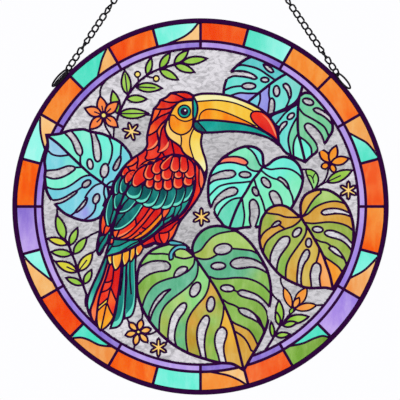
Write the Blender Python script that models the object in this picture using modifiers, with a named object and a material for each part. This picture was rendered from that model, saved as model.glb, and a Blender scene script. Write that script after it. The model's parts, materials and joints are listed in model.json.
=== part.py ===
"""A round stained glass panel: a toucan among leaves, leaded, rimmed and hung on a chain.

The panel stands in the XZ plane and faces -Y. The origin is where the top ring hangs.
Sizes are millimetres, and MM turns them into Blender's metres. The glass is drawn as a
cartoon, a full-size drawing on complex numbers: real to the right, imaginary up, from the
panel's centre. Later shapes of the cartoon cover earlier ones.
"""
import math

import bmesh
import bpy
from mathutils import Matrix
from mathutils import Vector
from mathutils.geometry import delaunay_2d_cdt

MM = 0.001

# The panel
DISC_RADIUS = 150.0
RIM_WIDTH = 3.8
RIM_DEPTH = 6.0
RIM_WALL = 1.1
RIM_CHAMFER = 0.7
RIM_STEPS = 48
GLASS_DEPTH = 3.0
LEAD_DEPTH = 5.0
GAP = 0.3
PANE_EDGE = DISC_RADIUS - RIM_WALL - 0.6
LEAD_EDGE = DISC_RADIUS - RIM_WIDTH - GAP

# The border of tiles and the thin ring inside it
BORDER_LINE = 131.8
RING_LINE = 126.0
BORDER_TILES = 24
RING_TILES = 12

# Widths of the lead lines
BOLD = 2.0
FIRM = 1.7
FINE = 1.3

# The hanging loops, the chain and the top ring
LOOP_ANGLE = 47.5
LOOP_LENGTH = 16.0
LOOP_WIDTH = 6.2
LOOP_WIRE = 1.3
LOOP_TILT = 27.0
LOOP_RADIUS = 151.3
LOOP_CORNERS = 10
LOOP_SIDES = 5
LINK_LENGTH = 7.8
LINK_WIDTH = 5.3
LINK_WIRE = 1.08
LINK_PITCH = 6.0
LINK_ROLL = 75.0
LINK_TWIST = 66.0
LINK_CORNERS = 6
LINK_SIDES = 3
TOP_RING_RADIUS = 7.0
TOP_RING_WIRE = 2.0
TOP_RING_STEPS = 18
TOP_RING_SIDES = 5
APEX_HEIGHT = 267.0

# How finely the cartoon is drawn, and how far a pane's edge may be straightened
STEP = 2.0
ARC_STEP = 17.0
STRAIGHTEN = 0.60
SMALLEST_PANE = 60.0
LAP = 0.4
MITRE_LIMIT = 1.6

# The places that follow from these
RING_CENTRE = APEX_HEIGHT
HANG_HEIGHT = RING_CENTRE + TOP_RING_RADIUS - TOP_RING_WIRE / 2
PANEL_Z = -HANG_HEIGHT * MM

COLOURS = {
    "lead": ((0.026, 0.006, 0.038), 0.42, 0.6),
    "wire": ((0.012, 0.012, 0.014), 0.40, 0.8),
    "red_orange_glass": ((0.88, 0.07, 0.01), 0.15, 0.0),
    "orange_glass": ((0.94, 0.20, 0.02), 0.15, 0.0),
    "aqua_glass": ((0.20, 0.90, 0.74), 0.15, 0.0),
    "peach_glass": ((0.92, 0.50, 0.19), 0.15, 0.0),
    "purple_glass": ((0.38, 0.26, 0.77), 0.15, 0.0),
    "green_glass": ((0.24, 0.49, 0.07), 0.15, 0.0),
    "lavender_glass": ((0.39, 0.29, 0.77), 0.15, 0.0),
    "clear_glass": ((0.62, 0.60, 0.63), 0.20, 0.0),
    "red_glass": ((0.78, 0.03, 0.02), 0.15, 0.0),
    "yellow_glass": ((0.95, 0.58, 0.07), 0.15, 0.0),
    "teal_glass": ((0.01, 0.20, 0.19), 0.15, 0.0),
    "turquoise_glass": ((0.07, 0.66, 0.58), 0.15, 0.0),
    "jade_glass": ((0.08, 0.51, 0.26), 0.15, 0.0),
    "leaf_glass": ((0.14, 0.49, 0.12), 0.15, 0.0),
    "moss_glass": ((0.27, 0.43, 0.06), 0.15, 0.0),
}

BORDER = ["red_orange", "aqua", "orange", "orange", "peach", "red_orange", "orange", "peach",
          "purple", "green", "red_orange", "orange", "aqua", "orange", "peach", "red_orange",
          "peach", "purple", "red_orange", "aqua", "orange", "aqua", "orange", "aqua"]


# ---- lines and outlines ------------------------------------------------------------------

def turned(degrees):
    """A unit step at an angle clockwise from straight up."""
    return complex(math.sin(math.radians(degrees)), math.cos(math.radians(degrees)))


def mix(a, b, share):
    return a + (b - a) * share


def smooth(knots, closed=False):
    """A smooth line through the knots (a centripetal Catmull-Rom curve)."""
    if closed:
        ring = [knots[-1], *knots, knots[0], knots[1]]
    else:
        ring = [2 * knots[0] - knots[1], *knots, 2 * knots[-1] - knots[-2]]
    line = []
    for a, b, c, d in zip(ring, ring[1:], ring[2:], ring[3:]):
        before = abs(b - a) ** 0.5
        here = abs(c - b) ** 0.5
        after = abs(d - c) ** 0.5
        leave = c - b + here * ((b - a) / before - (c - a) / (before + here))
        arrive = c - b + here * ((d - c) / after - (d - b) / (here + after))
        count = max(1, round(abs(c - b) / STEP))
        for k in range(count):
            t = k / count
            rise = t * t * (3 - 2 * t)
            line.append(mix(b, c, rise) + t * (1 - t) ** 2 * leave - t * t * (1 - t) * arrive)
    if not closed:
        line.append(knots[-1])
    return line


def cornered(*runs):
    """A closed outline of smooth runs, with a corner where one run ends and the next begins."""
    outline = []
    for run in runs:
        outline += smooth(run)[:-1]
    return outline


def arc(radius, start, end):
    """An arc round the panel's centre, between two angles clockwise from the top."""
    count = max(1, round(abs(math.radians(end - start)) * radius / ARC_STEP))
    return [radius * turned(mix(start, end, k / count)) for k in range(count + 1)]


def offset(line, distance, closed):
    """The line moved to its left, with mitred corners."""
    count = len(line)
    moved = []
    for k, here in enumerate(line):
        before = line[(k - 1) % count] if closed or k > 0 else None
        after = line[(k + 1) % count] if closed or k < count - 1 else None
        ways = []
        if before is not None:
            ways.append((here - before) / abs(here - before))
        if after is not None:
            ways.append((after - here) / abs(after - here))
        mean = sum(ways) / len(ways)
        reach = min(MITRE_LIMIT, 1 / max(abs(mean), 0.01))
        side = mean / max(abs(mean), 0.01) * 1j
        moved.append(here + side * distance * reach)
    return moved


def signed_area(outline):
    return sum((a.conjugate() * b).imag for a, b in zip(outline, outline[1:] + outline[:1])) / 2


# ---- the cartoon -------------------------------------------------------------------------

class Cartoon:
    """The drawing: glass shapes and lead lines in the order in which they cover each other."""

    def __init__(self):
        self.pieces = []
        self.labels = []

    def glass(self, name, outline):
        self.pieces.append([outline])
        self.labels.append(name)

    def lead(self, line, width, closed=False):
        """A lead line is a strip of four-sided pieces, each split by no other label."""
        left = offset(line, width / 2, closed)
        right = offset(line, -width / 2, closed)
        if closed:
            left.append(left[0])
            right.append(right[0])
        strip = []
        for k in range(len(left) - 1):
            strip.append([right[k], right[k + 1], left[k + 1], left[k]])
        self.pieces.append(strip)
        self.labels.append("lead")

    def figure(self, name, *outlines, width=FIRM):
        """One pane of glass under several outlines, leaded round the whole."""
        for outline in outlines:
            self.lead(outline, width, closed=True)
        for outline in outlines:
            rim = offset(outline, -width / 2 if signed_area(outline) < 0 else width / 2, True)
            self.glass(name, rim)


# ---- leaves ------------------------------------------------------------------------------

# Half of a split-leaf's outline, along and across, from the notch at its stem to its tip
HALF_LEAF = [0.02 + 0j, -0.09 + 0.13j, -0.16 + 0.40j, -0.10 + 0.72j, 0.07 + 0.94j, 0.29 + 1.0j,
             0.50 + 0.89j, 0.70 + 0.64j, 0.88 + 0.30j, 1 + 0j]

# Stem end, tip, half widths on the left and right of the midrib, its bow, and how far
# the two lobes reach back past the stem
LEAVES = {
    "leaf_top": (59 + 93j, 12 + 76j, (29, 26), 2, (1.1, 1.0)),
    "leaf_upper_right": (72 + 98j, 82 + 34j, (26, 22), -1, (1.1, 0.4)),
    "leaf_left": (-72 + 14j, -122 + 59j, (42, 36), -2, (1.0, 1.0)),
    "leaf_centre": (52 + 32j, 22 - 19j, (34, 38), 3, (1.0, 1.0)),
    "leaf_right": (79 - 7j, 105 - 65j, (42, 35), -3, (1.0, 1.0)),
    "leaf_bottom": (-5 - 38j, 34 - 131j, (58, 48), -5, (1.0, 1.0)),
}


def leaf_outline(stem, tip, widths, bow, lobes):
    along = tip - stem
    unit = along / abs(along)
    halves = []
    for side in (0, 1):
        out = unit * (1j, -1j)[side]
        knots = []
        for knot in HALF_LEAF:
            reach = knot.real * (lobes[side] if knot.real < 0 else 1)
            bowed = 4 * reach * (1 - reach) * bow if reach > 0 else 0
            knots.append(stem + along * reach + unit * 1j * bowed + out * widths[side] * knot.imag)
        halves.append(smooth(knots))
    return halves[0][:-1] + halves[1][::-1][:-1]


def midrib(stem, tip, widths, bow, lobes, pane):
    """The strip of lead along a leaf's middle, as far as its pane shows and a little more."""
    along = tip - stem
    unit = along / abs(along)
    line = []
    for k in range(101):
        reach = k / 100
        line.append(stem + along * reach + unit * 1j * 4 * reach * (1 - reach) * bow)
    shown = [k for k, p in enumerate(line) if distance_to(pane, p) == 0]
    first, last = line[shown[0]], line[shown[-1]]
    middle = line[(shown[0] + shown[-1]) // 2]
    first += (first - middle) / abs(first - middle) * BOLD * 0.7
    last += (last - middle) / abs(last - middle) * BOLD * 0.7
    left = offset([first, middle, last], FINE / 2, False)
    right = offset([first, middle, last], -FINE / 2, False)
    return left + right[::-1]


# ---- the toucan --------------------------------------------------------------------------

BODY = [-5 + 89j, -16 + 92j, -29 + 88j, -39 + 77j, -43.5 + 62j, -46 + 46j, -58 + 34j, -68 + 18j,
        -72 - 5j, -66 - 26j, -50 - 36j, -36 - 36j, -26 - 34j, -21 - 24j, -13 - 10j, 0 + 6j,
        6 + 18j, 6 + 30j, 3 + 45j, 1 + 58j, -3 + 66j, -4 + 78j]
BIB = [[-26.5 + 70j, -27.5 + 60j, -21 + 48j, -12 + 40j, -4 + 31j, 5 + 21j],
       [5 + 21j, 5 + 34j, 2.6 + 46j, 1 + 58j, -4 + 64j],
       [-4 + 64j, -14 + 60j, -26.5 + 70j]]
FACE = [-5 + 86j, -14 + 86.5j, -24 + 81j, -27.5 + 70j, -25 + 59j, -16 + 54j, -7 + 58j, -3 + 66j,
        -3 + 78j]
BEAK_RIDGE = [-6 + 88.5j, 8 + 91j, 25 + 88.5j, 40 + 82.5j, 52 + 74j, 60 + 63j, 63.5 + 50j]
BEAK_MOUTH = [63.5 + 50j, 56 + 57j, 45 + 62j, 32 + 65.3j, 15 + 66.8j, -5.5 + 67.5j]
BEAK_ROOT = [-5.5 + 67.5j, -3.4 + 78j, -6 + 88.5j]
BEAK_BELOW = [-5.5 + 67.5j, -3 + 61.5j, 6 + 58.6j, 20 + 58j, 36 + 57.8j, 50 + 55j, 63.5 + 50j]
WING = [[-69 + 20j, -54 + 20j, -38 + 15j, -22 + 13j, -6 + 19j],
        [-6 + 19j, -7 + 8j, -13 - 4j, -22 - 14j, -33 - 22j, -45 - 28j, -57 - 32j, -70 - 34j, -84 - 38j],
        [-84 - 38j, -82 - 20j, -77 + 0j, -69 + 20j]]

# Root, tip and width of each tail feather
TAIL = [(-62 - 34j, -91 - 82j, 12), (-60 - 34j, -87 - 92j, 12), (-50 - 34j, -52 - 82j, 12),
        (-53 - 34j, -61 - 92j, 12), (-56 - 34j, -70 - 97j, 12), (-58 - 34j, -79 - 100j, 15)]
# How wide a feather is along its length
FEATHER = [(0.0, 0.55), (0.25, 0.82), (0.72, 1.0), (0.86, 0.80), (0.965, 0.42)]


def feather(root, tip, width):
    side = (tip - root) / abs(tip - root) * 1j * width / 2
    left = [mix(root, tip, t) + side * w for t, w in FEATHER]
    right = [mix(root, tip, t) - side * w for t, w in FEATHER]
    return smooth([*left, tip, *right[::-1]], closed=True)


def draw_toucan(cartoon):
    cartoon.figure("toucan_tail", *[feather(*sizes) for sizes in TAIL])
    cartoon.figure("toucan_body", smooth(BODY, closed=True))
    cartoon.figure("toucan_face", cornered(*BIB), smooth(FACE, closed=True))
    cartoon.figure("beak_lower", cornered(BEAK_BELOW, BEAK_MOUTH), width=FINE)
    cartoon.figure("beak_upper", cornered(BEAK_RIDGE, BEAK_MOUTH, BEAK_ROOT), width=FINE)
    cartoon.figure("toucan_wing", cornered(*WING))


# ---- the round border --------------------------------------------------------------------

def tile(inner, outer, start, end, lead_width):
    """A tile of a ring, held back from its two sides by half a lead's width."""
    first = math.degrees(lead_width / 2 / inner)
    last = math.degrees(lead_width / 2 / outer)
    return arc(outer, start + last, end - last) + arc(inner, end - first, start + first)


def draw_border(cartoon):
    """The leads reach a little under the tiles, which are laid over them."""
    tile_angle = 360 / BORDER_TILES
    ring_angle = 360 / RING_TILES
    ring_inner = RING_LINE + BOLD / 2
    ring_outer = BORDER_LINE - BOLD / 2
    tile_inner = BORDER_LINE + BOLD / 2
    cartoon.lead(arc(RING_LINE + LAP / 2, 0, 360)[:-1], BOLD + LAP, closed=True)
    cartoon.lead(arc(BORDER_LINE, 0, 360)[:-1], BOLD + 2 * LAP, closed=True)
    for k in range(BORDER_TILES):
        way = turned(k * tile_angle)
        cartoon.lead([BORDER_LINE * way, LEAD_EDGE * way], BOLD + LAP)
    for k in range(RING_TILES):
        way = turned(k * ring_angle)
        cartoon.lead([RING_LINE * way, BORDER_LINE * way], BOLD + LAP)
    for k in range(BORDER_TILES):
        outline = tile(tile_inner, PANE_EDGE, k * tile_angle, (k + 1) * tile_angle, BOLD)
        cartoon.glass("border_pane_%02d" % (k + 1), outline)
    for k in range(RING_TILES):
        outline = tile(ring_inner, ring_outer, k * ring_angle, (k + 1) * ring_angle, BOLD)
        cartoon.glass("ring_pane_%02d" % (k + 1), outline)


# ---- from the cartoon to pieces ----------------------------------------------------------

# A point inside each clear pane, which names it
BACKGROUND = {
    "background_top": -30 + 105j,
    "background_right": 25 + 40j,
    "background_left": -95 - 35j,
    "background_bottom": -45 - 110j,
    "background_lower_right": 80 - 85j,
}


def triangles_of(cartoon):
    """The cartoon cut into triangles, each with the label of the topmost shape over it."""
    points = []
    faces = []
    owners = []
    for index, pieces in enumerate(cartoon.pieces):
        for outline in pieces:
            if signed_area(outline) < 0:
                outline = outline[::-1]
            faces.append(list(range(len(points), len(points) + len(outline))))
            points += [Vector((p.real, p.imag)) for p in outline]
            owners.append(index)
    cut = delaunay_2d_cdt(points, [], faces, 1, 1e-4, True)
    corners = [complex(p.x, p.y) for p in cut[0]]
    labels = []
    for covers in cut[5]:
        labels.append(cartoon.labels[max(owners[face] for face in covers)] if covers else None)
    return corners, cut[2], labels


def regions_of(corners, triangles, labels):
    """Joins the triangles into panes: lists of (label, triangle numbers). Slivers become lead."""
    sides = {}
    for index, triangle in enumerate(triangles):
        for k in range(3):
            sides[triangle[k], triangle[k - 2]] = index
    def neighbours(index):
        triangle = triangles[index]
        for k in range(3):
            other = sides.get((triangle[k - 2], triangle[k]))
            if other is not None:
                yield other
    regions = []
    seen = set()
    for first in range(len(triangles)):
        if first in seen or labels[first] in ("lead", None):
            continue
        members = [first]
        seen.add(first)
        for index in members:
            for other in neighbours(index):
                if other not in seen and labels[other] == labels[first]:
                    seen.add(other)
                    members.append(other)
        size = sum(signed_area([corners[c] for c in triangles[index]]) for index in members)
        if size < SMALLEST_PANE:
            for index in members:
                labels[index] = "lead"
        else:
            regions.append((labels[first], members))
    leads = [index for index, label in enumerate(labels) if label == "lead"]
    regions.append(("leadwork", leads))
    return regions, sides


def loops_of(members, triangles, sides):
    """The closed boundary lines of a region, each a list of (corner, triangle across)."""
    inside = set(members)
    after = {}
    for index in members:
        triangle = triangles[index]
        for k in range(3):
            a, b = triangle[k], triangle[k - 2]
            across = sides.get((b, a))
            if across not in inside:
                after.setdefault(a, []).append((b, across))
    loops = []
    while after:
        start = min(after)
        loop = []
        here = start
        while True:
            there, across = after[here].pop()
            if not after[here]:
                del after[here]
            loop.append((here, across))
            here = there
            if here == start:
                break
        loops.append(loop)
    return loops


def straighten(corners, run, kept):
    """Keeps the corners of a run that its shape needs (Douglas and Peucker's rule)."""
    kept.add(run[0])
    kept.add(run[-1])
    if len(run) < 3:
        return
    a, b = corners[run[0]], corners[run[-1]]
    far, best = 0, -1.0
    for k in range(1, len(run) - 1):
        p = corners[run[k]]
        if abs(b - a) < 1e-6:
            away = abs(p - a)
        else:
            away = abs(((b - a).conjugate() * (p - a)).imag) / abs(b - a)
        if away > best:
            far, best = k, away
    if best > STRAIGHTEN:
        straighten(corners, run[:far + 1], kept)
        straighten(corners, run[far:], kept)


def cut_cartoon(cartoon):
    """Cuts the drawing: {piece name: its boundary loops}, the leadwork among them."""
    corners, triangles, labels = triangles_of(cartoon)
    regions, sides = regions_of(corners, triangles, labels)
    owner = {}
    for number, (label, members) in enumerate(regions):
        for index in members:
            owner[index] = number
    all_loops = [loops_of(members, triangles, sides) for label, members in regions]
    kept = set()
    for (label, members), loops in zip(regions, all_loops):
        for loop in loops:
            across = [owner.get(index) for corner, index in loop]
            turns = [k for k in range(len(loop)) if across[k] != across[k - 1]]
            if not turns:
                lowest = min(range(len(loop)), key=lambda k: loop[k][0])
                turns = [lowest, (lowest + len(loop) // 2) % len(loop)]
            ring = [corner for corner, index in loop]
            for first, last in zip(turns, turns[1:] + turns[:1]):
                run = ring[first:last + 1] if last > first else ring[first:] + ring[:last + 1]
                if label != "leadwork" or across[first] is None:
                    straighten(corners, run, kept)
    pieces = {}
    for (label, members), loops in zip(regions, all_loops):
        outlines = []
        for loop in loops:
            outlines.append([corners[corner] for corner, index in loop if corner in kept])
        if label == "background":
            middle = outlines[0]
            label = min(BACKGROUND, key=lambda name: distance_to(middle, BACKGROUND[name]))
        if label in pieces:
            raise RuntimeError("two panes are called " + label)
        pieces[label] = outlines
    return pieces


def distance_to(outline, point):
    """Zero inside the outline, or else the distance to its nearest corner."""
    turning = 0.0
    for a, b in zip(outline, outline[1:] + outline[:1]):
        turning += math.atan2(((a - point).conjugate() * (b - point)).imag,
                              ((a - point).conjugate() * (b - point)).real)
    return 0.0 if abs(turning) > 3.0 else min(abs(p - point) for p in outline)


# ---- solids ------------------------------------------------------------------------------

def material(name):
    colour, roughness, metallic = COLOURS[name]
    found = bpy.data.materials.get(name)
    if found is None:
        found = bpy.data.materials.new(name)
        found.use_nodes = True
        shader = found.node_tree.nodes["Principled BSDF"]
        shader.inputs["Base Color"].default_value = (*colour, 1.0)
        shader.inputs["Roughness"].default_value = roughness
        shader.inputs["Metallic"].default_value = metallic
        found.diffuse_color = (*colour, 1.0)
    return found


def add_object(name, data, collection, stuff):
    piece = bpy.data.objects.new(name, data)
    collection.objects.link(piece)
    data.materials.clear()
    data.materials.append(material(stuff))
    return piece


def flat_piece(name, outlines, depth, collection, stuff):
    """A flat sheet of the outlines' shape, half its depth to either side of the panel's plane."""
    curve = bpy.data.curves.new(name, "CURVE")
    curve.dimensions = "2D"
    curve.fill_mode = "BOTH"
    curve.extrude = depth / 2 * MM
    for outline in outlines:
        spline = curve.splines.new("POLY")
        spline.points.add(len(outline) - 1)
        for point, p in zip(spline.points, outline):
            point.co = (p.real * MM, p.imag * MM, 0, 1)
        spline.use_cyclic_u = True
    piece = add_object(name, curve, collection, stuff)
    piece.rotation_euler = (math.radians(90), 0, 0)
    piece.location = (0, 0, PANEL_Z)
    return piece


def make_leadwork(pieces, collection, guides):
    """The net of leads, with the midribs of the leaves lying on the glass, front and back."""
    leadwork = flat_piece("leadwork", pieces["leadwork"], LEAD_DEPTH, collection, "lead")
    leadwork = as_mesh(leadwork, collection, "lead")
    depth = (LEAD_DEPTH - GLASS_DEPTH) / 2 - GAP
    for face in (-1, 1):
        name = "midribs_front" if face < 0 else "midribs_back"
        strips = [midrib(*sizes, pieces[leaf][0]) for leaf, sizes in LEAVES.items()]
        ribs = flat_piece(name, strips, depth, guides, "lead")
        ribs.location.y = face * (LEAD_DEPTH - depth) / 2 * MM
        bpy.context.view_layer.update()
        ribs = as_mesh(ribs, guides, "lead")
        unite(leadwork, ribs)


def make_rim(collection):
    """A U-shaped channel turned round the panel; its slot holds the edge of the border panes."""
    outer, inner = DISC_RADIUS, DISC_RADIUS - RIM_WIDTH
    slot = GLASS_DEPTH / 2 + GAP
    half = RIM_DEPTH / 2
    web = DISC_RADIUS - RIM_WALL
    section = [(outer - RIM_CHAMFER, half), (outer, half - RIM_CHAMFER), (outer, RIM_CHAMFER - half),
               (outer - RIM_CHAMFER, -half), (inner, -half), (inner, -slot), (web, -slot),
               (web, slot), (inner, slot), (inner, half)]
    mesh = bpy.data.meshes.new("rim")
    corners = [(x * MM, 0, z * MM) for x, z in section]
    edges = [(k, (k + 1) % len(section)) for k in range(len(section))]
    mesh.from_pydata(corners, edges, [])
    rim = add_object("rim", mesh, collection, "lead")
    screw = rim.modifiers.new("turn", "SCREW")
    screw.steps = RIM_STEPS
    screw.render_steps = RIM_STEPS
    screw.use_merge_vertices = True
    screw.merge_threshold = 0.0001
    rim.rotation_euler = (math.radians(90), 0, 0)
    rim.location = (0, 0, PANEL_Z)
    return rim


def oval(length, width, wire, corners):
    """The middle line of an oval wire loop in the XY plane: flat ends across X, round sides."""
    reach = (length - wire) / 2
    half = (width - wire) / 2
    flat = math.pi / corners
    line = []
    for k in range(corners):
        angle = 2 * math.pi * k / corners + flat
        x = max(-1.0, min(1.0, math.cos(angle) / math.cos(flat)))
        y = math.sin(angle)
        line.append(Vector((reach * x, half * y, 0)))
    return line


def as_mesh(piece, collection, stuff):
    """The piece as a mesh with its loose edges welded, in place of the curve it was."""
    name = piece.name
    seen = piece.evaluated_get(bpy.context.evaluated_depsgraph_get())
    mesh = bpy.data.meshes.new_from_object(seen)
    cleaner = bmesh.new()
    cleaner.from_mesh(mesh)
    bmesh.ops.remove_doubles(cleaner, verts=cleaner.verts, dist=1e-6)
    bmesh.ops.recalc_face_normals(cleaner, faces=cleaner.faces)
    cleaner.to_mesh(mesh)
    cleaner.free()
    matrix = piece.matrix_world.copy()
    bpy.data.objects.remove(piece)
    made = add_object(name, mesh, collection, stuff)
    mesh.name = name
    made.matrix_world = matrix
    return made


def unite(piece, other):
    """Joins another mesh to the piece; the other stays as a hidden guide."""
    other.hide_render = True
    other.display_type = "WIRE"
    union = piece.modifiers.new("joined", "BOOLEAN")
    union.operation = "UNION"
    union.solver = "EXACT"
    union.object = other


def wire_mesh(name, rings, wire, sides, collection, stuff):
    """Closed wire loops with a section of few sides, as one mesh."""
    edge = bpy.data.curves.new(name + "_section", "CURVE")
    outline = edge.splines.new("POLY")
    outline.points.add(sides - 1)
    for k, point in enumerate(outline.points):
        way = turned(360 * k / sides) * wire / 2 * MM
        point.co = (way.real, way.imag, 0, 1)
    outline.use_cyclic_u = True
    section = bpy.data.objects.new(name + "_section", edge)
    collection.objects.link(section)
    curve = bpy.data.curves.new(name, "CURVE")
    curve.dimensions = "3D"
    curve.bevel_mode = "OBJECT"
    curve.bevel_object = section
    for ring in rings:
        spline = curve.splines.new("POLY")
        spline.points.add(len(ring) - 1)
        for point, p in zip(spline.points, ring):
            point.co = (*(p * MM), 1)
        spline.use_cyclic_u = True
    made = as_mesh(add_object(name, curve, collection, stuff), collection, stuff)
    bpy.data.objects.remove(section)
    return made


def loop_frame(side):
    """Where a hanging loop lies: across the rim's front edge, its length along the rim."""
    middle = LOOP_RADIUS * turned(side * LOOP_ANGLE)
    along = Vector((-side * math.cos(math.radians(LOOP_ANGLE)), 0, math.sin(math.radians(LOOP_ANGLE))))
    out = Vector((middle.real, 0, middle.imag)).normalized()
    tilt = math.radians(LOOP_TILT)
    across = out * math.cos(tilt) + Vector((0, 1, 0)) * math.sin(tilt)
    centre = Vector((middle.real, 0, middle.imag))
    centre.y = -(RIM_DEPTH / 2 + GAP + LOOP_WIRE / 2 + 0.1)
    centre.y += (LOOP_WIDTH - LOOP_WIRE) / 2 * math.sin(tilt)
    return centre, along, across


def place(ring, centre, along, across):
    """Turns a line of the XY plane to the two directions given, about its centre."""
    return [centre + along * p.x + across * p.y + along.cross(across) * p.z for p in ring]


def to_hang(ring):
    """From the panel's centre to the hanging point."""
    return [p - Vector((0, 0, HANG_HEIGHT)) for p in ring]


def make_loop(side, collection):
    name = "hanging_loop_left" if side < 0 else "hanging_loop_right"
    ring = oval(LOOP_LENGTH, LOOP_WIDTH, LOOP_WIRE, LOOP_CORNERS)
    ring = place(ring, *loop_frame(side))
    return wire_mesh(name, [to_hang(ring)], LOOP_WIRE, LOOP_SIDES, collection, "wire")


def chain_ends(side):
    """The middles of the end wires of the first and last link of a chain."""
    centre, along, across = loop_frame(side)
    loop_end = centre + along * (LOOP_LENGTH - LOOP_WIRE) / 2
    hook = (LOOP_WIRE + LINK_WIRE) / 2 + GAP
    ring_hook = TOP_RING_RADIUS - (TOP_RING_WIRE + LINK_WIRE) / 2 - GAP
    apex = Vector((0, 0, RING_CENTRE))
    way = (apex - loop_end).normalized()
    return loop_end - way * hook, apex - way * ring_hook


def chain_links(side):
    """The middle lines of a chain's links, from the loop up to the top ring."""
    low, high = chain_ends(side)
    way = (high - low).normalized()
    span = (high - low).length
    reach = LINK_LENGTH - LINK_WIRE
    count = round((span - reach) / LINK_PITCH) + 1
    pitch = (span - reach) / (count - 1)
    flat = Vector((0, 1, 0)).cross(way).normalized()
    depth = way.cross(flat)
    links = []
    for k in range(count):
        middle = low + way * (reach / 2 + pitch * k)
        roll = 90 - LINK_ROLL * math.sin(math.pi * k / (count - 1))
        ends = (k == 0, k == count - 1)
        ring = []
        for p in oval(LINK_LENGTH, LINK_WIDTH, LINK_WIRE, LINK_CORNERS):
            share = p.x / reach
            twist = LINK_TWIST * share
            if ends[0] and share < 0 or ends[1] and share > 0:
                twist = 0
            angle = math.radians(roll + twist)
            across = flat * math.cos(angle) + depth * math.sin(angle)
            ring.append(middle + way * p.x + across * p.y)
        links.append(ring)
    return links


def make_chains(collection, guides):
    """Twisted chains: every second link in one mesh, the others in another, then united."""
    links = [to_hang(link) for link in chain_links(1)]
    evens = wire_mesh("links_even", links[0::2], LINK_WIRE, LINK_SIDES, guides, "wire")
    odds = wire_mesh("links_odd", links[1::2], LINK_WIRE, LINK_SIDES, guides, "wire")
    unite(evens, odds)
    seen = evens.evaluated_get(bpy.context.evaluated_depsgraph_get())
    right = bpy.data.meshes.new_from_object(seen)
    right.name = "chain_right"
    left = right.copy()
    left.name = "chain_left"
    left.transform(Matrix.Scale(-1, 4, (1, 0, 0)))
    left.flip_normals()
    bpy.data.objects.remove(evens)
    bpy.data.objects.remove(odds)
    add_object("chain_right", right, collection, "wire")
    add_object("chain_left", left, collection, "wire")


def make_top_ring(collection):
    bpy.ops.mesh.primitive_torus_add(
        major_segments=TOP_RING_STEPS, minor_segments=TOP_RING_SIDES,
        major_radius=TOP_RING_RADIUS * MM, minor_radius=TOP_RING_WIRE / 2 * MM,
        rotation=(math.radians(90), 0, 0), location=(0, 0, (RING_CENTRE - HANG_HEIGHT) * MM))
    ring = bpy.context.object
    ring.name = "top_ring"
    ring.data.name = "top_ring"
    for old in list(ring.users_collection):
        old.objects.unlink(ring)
    collection.objects.link(ring)
    ring.data.materials.append(material("wire"))
    ring.data.shade_smooth()
    return ring


def glass_of(name):
    """Which glass a pane is cut from."""
    if name.startswith("border"):
        return BORDER[int(name[-2:]) - 1] + "_glass"
    if name.startswith("ring"):
        return "lavender_glass"
    if name.startswith("background"):
        return "clear_glass"
    return {
        "leaf_top": "turquoise_glass", "leaf_upper_right": "jade_glass", "leaf_left": "turquoise_glass",
        "leaf_centre": "turquoise_glass", "leaf_right": "moss_glass", "leaf_bottom": "leaf_glass",
        "toucan_tail": "teal_glass", "toucan_body": "red_glass", "toucan_face": "yellow_glass",
        "beak_lower": "teal_glass", "beak_upper": "yellow_glass", "toucan_wing": "red_glass",
    }[name]


def main():
    for old in list(bpy.data.objects):
        bpy.data.objects.remove(old)
    panel = bpy.data.collections.new("stained_glass_window")
    guides = bpy.data.collections.new("guides")
    bpy.context.scene.collection.children.link(panel)
    bpy.context.scene.collection.children.link(guides)
    guides.hide_render = True

    cartoon = Cartoon()
    cartoon.glass("background", arc(RING_LINE, 0, 360)[:-1])
    for name, sizes in LEAVES.items():
        cartoon.figure(name, leaf_outline(*sizes))
    draw_toucan(cartoon)
    draw_border(cartoon)
    pieces = cut_cartoon(cartoon)
    make_leadwork(pieces, panel, guides)
    for name, outlines in pieces.items():
        if name != "leadwork":
            held = [offset(outline, GAP, True) for outline in outlines]
            flat_piece(name, held, GLASS_DEPTH, panel, glass_of(name))
    make_rim(panel)
    make_loop(-1, panel)
    make_loop(1, panel)
    make_chains(panel, guides)
    make_top_ring(panel)


main()
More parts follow.
